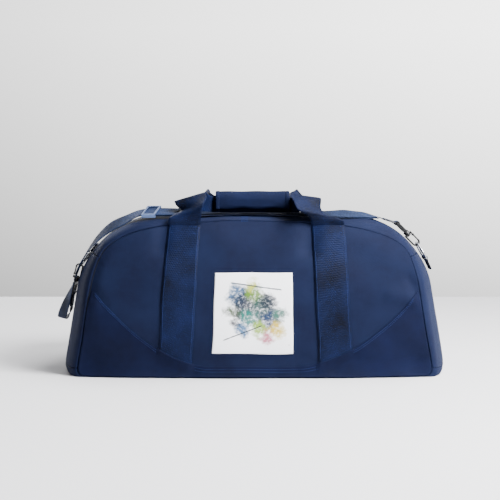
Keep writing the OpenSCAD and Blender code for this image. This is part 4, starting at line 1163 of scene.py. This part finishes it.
# Webbing folded round a bar: up one side, round it and back down the other
def foldedTail(name, origin, direction, y, width, length, radius, thick, material, body, node):
    d = np.array([direction[0], 0, direction[1]])
    n = np.array([-direction[1], 0, direction[0]])
    mid = radius + thick / 2
    turn = math.degrees(math.acos(min(1, (thick / 2 + 0.05) / mid)))
    bend = [(mid * math.cos(math.radians(a)), mid * math.sin(math.radians(a)))
            for a in np.linspace(90 - turn, 270 + turn, 40)]
    flat = [(length, thick / 2 + 0.05), (length * 0.6, thick / 2 + 0.05), (mid + 3, thick / 2 + 0.25)]
    fold = flat + [(u, v) for u, v in bend if u < mid * 0.8] + [(u, -v) for u, v in flat[::-1]]
    middle = np.array([origin[0], y, origin[1]])
    stops = [list(middle + d * u + n * v) + [0, 1, 0, width / 2] for u, v in fold]
    rows = ribbonRows(evenRows(smoothPath(stops, 400), straps["ribPitch"] / 5), 11)
    tail = webbingSlab(name, rows, thick, finish[material], straps["ribPitch"], straps["ribHigh"],
                       (3, (n[0], n[1], n[2])))
    return place(tail, body, [node])


def alongOutline(k):
    return unit(outlineSteps[k + 1] - outlineSteps[k])


def makeTails():
    for side, word in ((1, "Right"), (-1, "Left")):
        clip = clips[side]
        foldedTail("strapEnd" + word, clip["eye"], clip["tail"], clip["y"], straps["width"], straps["tail"],
                   straps["eyeRadius"], straps["thick"], "strap", "clip_" + word.lower(),
                   "strap_end_" + word.lower())
        away = alongOutline(11) if side > 0 else alongOutline(9) * [1, -1]
        foldedTail("ringTab" + word, clip["bar"], away, clip["y"], straps["tabWidth"], straps["tabTail"],
                   straps["ringWire"] / 2 + 0.3, straps["tabThick"], "web", "root",
                   "ring_tab_" + word.lower())


makeStrap()
makeTails()


film = {"low": 38.0, "high": 160.0, "thick": 0.4, "lift": 0.4, "lowX": (-64.5, 57.9), "highX": (-59.6, 56.3)}


def makePrint():
    u = np.linspace(0, 1, 61)
    foot, head = (a + (b - a) * u[None, :] for a, b in (film["lowX"], film["highX"]))
    x = foot + (head - foot) * u[:, None]
    z = film["low"] + (film["high"] - film["low"]) * u[:, None] + 0 * u[None, :]
    outer = settle(onPanel(-1, x, z, film["lift"] + film["thick"]))
    inner = settle(onPanel(-1, x, z, film["lift"]))
    uv = np.stack([np.broadcast_to(u[None, :], x.shape), np.broadcast_to(u[:, None], x.shape)], 2)
    piece = clothSlab("printFilm", outer, inner, finish["print"], uv)
    return place(piece, "root", ["print_square"])


makePrint()


# Rounded thread, lying along X: a few dozen faces, as it is repeated thousands of times
def threadMesh(name, length, width, height):
    rings = [(-0.5, 0.25), (-0.36, 0.85), (0.0, 1.0), (0.36, 0.85), (0.5, 0.25)]
    points = [(length * x, width / 2 * r * math.cos(a), height * r * math.sin(a))
              for x, r in rings for a in np.linspace(0, 2 * math.pi, 6, endpoint=False)]
    faces = [(i * 6 + j, i * 6 + (j + 1) % 6, (i + 1) * 6 + (j + 1) % 6, (i + 1) * 6 + j)
             for i in range(4) for j in range(6)]
    faces += [(5, 4, 3, 2, 1, 0), (24, 25, 26, 27, 28, 29)]
    return meshObject(name, np.array(points), faces, finish["thread"])


# Geometry Nodes: sets one shape at each point, along and facing the way that the point's attributes say
def repeatTree(name, shape, material):
    tree = bpy.data.node_groups.new(name, "GeometryNodeTree")
    tree.interface.new_socket("Geometry", in_out="INPUT", socket_type="NodeSocketGeometry")
    size = tree.interface.new_socket("Size", in_out="INPUT", socket_type="NodeSocketFloat")
    size.default_value = 1.0
    tree.interface.new_socket("Geometry", in_out="OUTPUT", socket_type="NodeSocketGeometry")
    start, end = addNode(tree, "NodeGroupInput"), addNode(tree, "NodeGroupOutput")
    along, facing = (addNode(tree, "GeometryNodeInputNamedAttribute", {"Name": word}, 0,
                             data_type="FLOAT_VECTOR") for word in ("along", "facing"))
    turned = addNode(tree, "FunctionNodeAlignRotationToVector", {"Vector": along}, 0, axis="X")
    turned = addNode(tree, "FunctionNodeAlignRotationToVector", {"Rotation": turned, "Vector": facing}, 0,
                     axis="Z", pivot_axis="X")
    unitShape = addNode(tree, "GeometryNodeObjectInfo", {"Object": shape}, "Geometry")
    jitter = addNode(tree, "FunctionNodeRandomValue", {2: 0.9, 3: 1.08, "Seed": randomSeed}, 1,
                     data_type="FLOAT")
    scale = addNode(tree, "ShaderNodeMath", {0: jitter, 1: start.outputs["Size"]}, 0, operation="MULTIPLY")
    copies = addNode(tree, "GeometryNodeInstanceOnPoints", {
        "Points": start.outputs["Geometry"], "Instance": unitShape, "Rotation": turned, "Scale": scale}, 0)
    real = addNode(tree, "GeometryNodeRealizeInstances", {"Geometry": copies}, 0)
    finished = addNode(tree, "GeometryNodeSetMaterial", {"Geometry": real, "Material": material}, 0)
    tree.links.new(finished, end.inputs[0])
    return tree, size.identifier


# One plain mesh of a shape repeated at points, with its own tree
def repeated(name, shape, points, along, facing, material, size=1.0):
    mesh = bpy.data.meshes.new(name)
    mesh.from_pydata((np.asarray(points) * mm).tolist(), [], [])
    for key, values in (("along", along), ("facing", facing)):
        layer = mesh.attributes.new(key, "FLOAT_VECTOR", "POINT")
        layer.data.foreach_set("vector", np.asarray(values, np.float32).ravel())
    piece = bpy.data.objects.new(name, mesh)
    bpy.context.scene.collection.objects.link(piece)
    tree, sizeInput = repeatTree(name + "Tree", shape, material)
    modifier = piece.modifiers.new("repeat", "NODES")
    modifier.node_group = tree
    modifier[sizeInput] = size
    applied(piece)
    for key in ("along", "facing"):
        if key in piece.data.attributes:
            piece.data.attributes.remove(piece.data.attributes[key])
    piece.data.polygons.foreach_set("use_smooth", [True] * len(piece.data.polygons))
    return piece


# Its thread is drawn a little heavy, so that it shows
sewing = {"pitch": 3.3, "length": 2.5, "width": 0.75, "height": 0.34, "seamRows": (3.2, 6.6),
          "webEdge": 0.88, "boxEdge": 0.8, "boxAt": (0.93, 0.985)}
tack = {"across": (241.5, 247.5), "down": (216.5, 222.5), "threads": 6}  # in pixels of the photograph


# The joined surface of some finished pieces, for lines of sight to meet
def treeOf(names):
    points, faces = [], []
    for name in names:
        mesh = bpy.data.objects[name].data
        faces += [tuple(len(points) + v for v in face.vertices) for face in mesh.polygons]
        points += [v.co.copy() for v in mesh.vertices]
    return BVHTree.FromPolygons(points, faces)


# Even places along a line of points on a surface, with directions
def stitchRun(line, normals, pitch=None):
    run = np.concatenate([[0], np.cumsum(np.linalg.norm(np.diff(line, axis=0), axis=1))])
    at = np.arange(1.5, run[-1] - 1, pitch or sewing["pitch"])
    spot = np.stack([np.interp(at, run, line[:, i]) for i in range(3)], 1)
    ahead = np.stack([np.interp(at + 0.5, run, line[:, i]) for i in range(3)], 1)
    facing = np.stack([np.interp(at, run, normals[:, i]) for i in range(3)], 1)
    return spot, ahead - spot, facing


def panelLine(side, x, z, lift):
    line = settle(onPanel(side, x, z, lift))
    n = np.zeros_like(line)
    n[:, 1] = side
    slope = np.gradient(line, axis=0)
    slope /= np.linalg.norm(slope, axis=1, keepdims=True)
    n -= slope * (n * slope).sum(1, keepdims=True)
    return line, n


def webLine(side, which, c):
    rows = sewnRows(side, which, 9)
    n = gridNormals(rows)
    n *= np.sign((n[..., 1]).sum() * side)
    lift = webs["thick"] / 2 - 0.05
    full = rows + n * lift
    col = (c + 1) / 2 * 8
    i = min(int(col), 7)
    t = col - i
    return full[:, i] * (1 - t) + full[:, i + 1] * t, n[:, i]


def makeStitches():
    shape = threadMesh("stitchShape", sewing["length"], sewing["width"], sewing["height"])
    spots, alongs, facings = [], [], []

    def sew(line, normals, pitch=None):
        s, a, f = stitchRun(line, normals, pitch)
        spots.append(s), alongs.append(a), facings.append(f)

    for side in (-1, 1):
        for gap in sewing["seamRows"]:
            x = np.linspace(-246, 246, 700)
            z = smileHeight(x) - gap
            clear = np.min([np.abs(x - f) for f in webs["feet"][side]], axis=0) > webs["width"] / 2 + 1
            parts = np.split(np.arange(len(x)), np.flatnonzero(np.diff(clear.astype(int))) + 1)
            for part in parts:
                if clear[part[0]] and len(part) > 8:
                    lift = shell["lowerLift"] + shell["webLift"] * webCover(side, x[part], z[part])
                    sew(*panelLine(side, x[part], z[part], lift))
        for which in (0, 1):
            for c in (-sewing["webEdge"], sewing["webEdge"]):
                line, n = webLine(side, which, c)
                sew(line[18:-6], n[18:-6])
            left, n = webLine(side, which, -sewing["boxEdge"])
            right = webLine(side, which, sewing["boxEdge"])[0]
            i, j = (int(len(left) * share) for share in sewing["boxAt"])
            for a, b in ((left[i], right[i]), (left[j], right[j]), (left[i], right[j]), (left[j], right[i])):
                w = np.linspace(0, 1, 20)[:, None]
                sew(a + (b - a) * w, np.repeat(n[i][None], 20, 0))
    # a bar tack over the middle of the front top seam, set on what carries it by the lines of sight
    tree = treeOf(["topGussetFront", "frontPanelCloth"])
    for px in np.linspace(*tack["across"], tack["threads"]):
        line = np.array([onSurface((px, py), tree) for py in np.linspace(*tack["down"], 12)]) / mm
        sew(line + np.array([0, -0.2, 0.35]), np.repeat([[0, -0.7, 0.7]], 12, 0), sewing["length"])
    shape.hide_render = True
    thread = repeated("shellStitches", shape, np.concatenate(spots), np.concatenate(alongs),
                      np.concatenate(facings), finish["thread"])
    place(thread, "root")
    bpy.data.objects.remove(shape)


makeStitches()


teeth = {"pitch": 1.5, "wire": 0.62, "width": 2.7, "high": 1.7, "fromMiddle": 1.575, "lift": 0.15}


# One turn of a coil zip's element
def toothMesh():
    points, faces = [], []
    path = [(math.cos(a) * teeth["width"] / 2, math.sin(a) * teeth["high"] / 2)
            for a in np.linspace(0, 2 * math.pi, 8, endpoint=False)]
    ring = 5
    for i, (y, z) in enumerate(path):
        outwardY, outwardZ = y / (teeth["width"] / 2), z / (teeth["high"] / 2)
        for a in np.linspace(0, 2 * math.pi, ring, endpoint=False):
            r = teeth["wire"] / 2
            points.append((math.sin(a) * r, y + outwardY * math.cos(a) * r, z + outwardZ * math.cos(a) * r))
    for i in range(8):
        for j in range(ring):
            a, b = i * ring + j, i * ring + (j + 1) % ring
            c, d = ((i + 1) % 8) * ring + (j + 1) % ring, ((i + 1) % 8) * ring + j
            faces.append((a, b, c, d))
    tooth = meshObject("toothShape", np.array(points), faces, finish["coil"])
    faceOut(tooth)
    return tooth


def makeTeeth():
    tooth = toothMesh()
    ks = np.linspace(-zipEnd, zipEnd, 1200)
    for side, word in ((-1, "Front"), (1, "Back")):
        js = side * levelStep(ks, teeth["fromMiddle"])
        line = bandPoint(ks, js, shell["tapeSunk"])
        up = bandPoint(ks, js, 0.0) - line
        up /= np.linalg.norm(up, axis=1, keepdims=True)
        line = line + up * (teeth["high"] / 2 + teeth["lift"])
        s, a, f = stitchRun(line, up, teeth["pitch"])
        if side > 0:
            a = -a
        coil = repeated("coil" + word, tooth, s, a, f, finish["coil"])
        place(coil, "root", ["zip_coil_" + word.lower()])
    bpy.data.objects.remove(tooth)


makeTeeth()
print("sewn and zipped")


nodeFinish = {
    "slider": ["zip_slider_left", "zip_slider_right", "zip_pull_left", "zip_pull_right"],
    "nickel": ["d_ring_left", "d_ring_right", "zip_end_stops"],
    "black": ["hook_body_left", "hook_body_right", "hook_gate_left", "hook_gate_right", "hook_eye_left",
              "hook_eye_right"],
    "adjuster": ["strap_adjuster"],
    "board": ["base_board"],
    "hookTape": ["grip_loop_tape", "grip_hook_tape"],
}
for kind, names in nodeFinish.items():
    for name in names:
        node = bpy.data.objects[name]
        node.data.materials.clear()
        node.data.materials.append(finish[kind])
        for face in node.data.polygons:
            face.material_index = 0


# A pale table in mm, and air whose greys are the backdrop behind it
studio = {"floor": "#D6D6D9", "tableBack": 1170, "tableSides": 1700, "tableFront": -3000,
          "airFront": 0.62, "overhead": 0.16,
          "airBack": {"left": (0.8, 2.1), "right": (1.5, 4.2)}}  # at the floor's far edge, and high up


# Matt paper on the table, with a faint change of tone
def makeStage():
    material, tree, surface = startMaterial("palePaper", {"Roughness": 0.9})
    coords = addNode(tree, "ShaderNodeTexCoord", None, "Object")
    haze = addNode(tree, "ShaderNodeTexNoise", {
        "Vector": coords, "Scale": 1 / (900 * mm), "Detail": 1.0, "Roughness": noiseRoughness}, 0)
    pale = linear(studio["floor"])
    dull = tuple(c * 0.97 for c in pale[:3]) + (1.0,)
    tone = addNode(tree, "ShaderNodeMix", {0: haze, 6: pale, 7: dull}, 2, data_type="RGBA")
    tree.links.new(tone, surface.inputs["Base Color"])
    side, near, far = studio["tableSides"], studio["tableFront"], studio["tableBack"]
    floor = meshObject("floor", [(-side, near, 0), (side, near, 0), (side, far, 0), (-side, far, 0)],
                       [(0, 1, 2, 3)], material, smooth=False)


def grey(value):
    return (value, value, value, 1.0)


def makeAir():
    world = bpy.data.worlds.new("studioAir")
    world.use_nodes = True
    tree = world.node_tree
    way = addNode(tree, "ShaderNodeTexCoord", None, "Generated")
    x, y, z = addNode(tree, "ShaderNodeSeparateXYZ", {0: way}).outputs
    across, up, ahead, above = (addNode(tree, "ShaderNodeMapRange", {0: value, 1: low, 2: high}, 0)
                                for value, low, high in ((x, -0.2, 0.2), (z, -0.1, 0.12), (y, 0.5, 0.8),
                                                         (z, 0.2, 0.34)))
    left, right = studio["airBack"]["left"], studio["airBack"]["right"]
    low, high = (addNode(tree, "ShaderNodeMix", {0: across, 6: grey(left[i]), 7: grey(right[i])}, 2,
                         data_type="RGBA") for i in (0, 1))
    tone = low
    for share, under, cover in ((up, None, high), (ahead, grey(studio["airFront"]), None),
                                (above, None, grey(studio["overhead"]))):
        tone = addNode(tree, "ShaderNodeMix", {0: share, 6: tone if under is None else under,
                       7: tone if cover is None else cover}, 2, data_type="RGBA")
    tree.links.new(tone, tree.nodes["Background"].inputs[0])
    bpy.context.scene.world = world


def makeLight(name, spot, aim, size, power):
    data = bpy.data.lights.new(name, "AREA")
    data.shape = "RECTANGLE"
    data.size, data.size_y = size
    data.energy = power
    lamp = bpy.data.objects.new(name, data)
    lamp.location = spot
    lamp.rotation_euler = (Vector(aim) - Vector(spot)).to_track_quat("-Z", "Y").to_euler()
    bpy.context.scene.collection.objects.link(lamp)


makeStage()
makeAir()
# Each softbox: its place, what it faces, its size in metres and its power
softboxes = {
    "keySoftbox": ((1.15, -0.95, 1.35), (0.05, 0, 0.1), (0.8, 0.8), 172.0),
    "fillSoftbox": ((-2.2, -1.6, 1.2), (0, 0, 0.1), (1.6, 1.6), 4.0),
    "backSoftbox": ((-0.9, 1.9, 1.1), (0, 0, 0.12), (1.2, 1.2), 26.0),
    "topSoftbox": ((0.9, 0.3, 2.6), (0, 0.1, 0), (2.0, 1.6), 110.0),
}
for name, lamp in softboxes.items():
    makeLight(name, *lamp)
print("studio lit")

# Finds which vertices the camera sees, and their pixels near the photograph's points
shownNodes = [bpy.data.objects[name] for names in nodeFinish.values() for name in names]
shownObjects = list(pieces.values()) + shownNodes
graph = bpy.context.evaluated_depsgraph_get()
shownTrees = [BVHTree.FromObject(piece, graph) for piece in shownObjects]
eye = camera.matrix_world.translation


def shows(point):
    ray = Vector(point) - eye
    return all(tree.ray_cast(eye, ray.normalized(), ray.length - 0.0015)[0] is None for tree in shownTrees)


# Pixels of the vertices of some pieces that show, within a window of the photograph
def seenIn(names, x0=0, x1=photoSize[0], y0=0, y1=photoSize[1]):
    points = np.concatenate([verticesOf(bpy.data.objects[name]) for name in names])
    pixels = toPixel(points)
    px, py = pixels.T
    inside = (px >= x0) & (px <= x1) & (py >= y0) & (py <= y1)
    points, pixels = points[inside], pixels[inside]
    return pixels[[shows(p) for p in points]]


def verticesOf(piece):
    points = np.zeros(len(piece.data.vertices) * 3)
    piece.data.vertices.foreach_get("co", points)
    return points.reshape(-1, 3)


def makePoints():
    points = np.concatenate([verticesOf(piece) for piece in shownObjects])
    pixels = toPixel(points)
    px, py = pixels.T
    order = {"leftEdge": px, "rightEdge": -px, "topEdge": py, "bottomEdge": -py}
    for name, key in order.items():
        spot = next(i for i in np.argsort(key) if shows(points[i]))
    corners = toPixel(verticesOf(bpy.data.objects["printFilm"])[[0, 60, 60 * 61, 61 * 61 - 1]])
    for name in ("leftWebFoot", "rightWebFoot"):
        px, py = imagePoints[name]
        across = seenIn(["carryHandleFront"], px - 30, px + 30, py - 1.5, py + 1.5)[:, 0]
    x = np.linspace(-250, 250, 900)
    seam = toPixel(settle(onPanel(-1, x, smileHeight(x), shell["lowerLift"])) * mm)
    for name in ("leftFoldTop", "rightFoldTop"):
        px, py = imagePoints[name]
        handles = seenIn(["carryHandleFront", "carryHandleBack"], px - 1.5, px + 1.5, py - 12, py + 12)
    fittings = {"adjuster": "strap_adjuster", "hookRight": "hook_body_right", "ringRight": "d_ring_right"}
    for name, part in fittings.items():
        seen = seenIn([part])
    tip = seenIn(["strapLeft"], 0, 90, 270, 340)


makePoints()
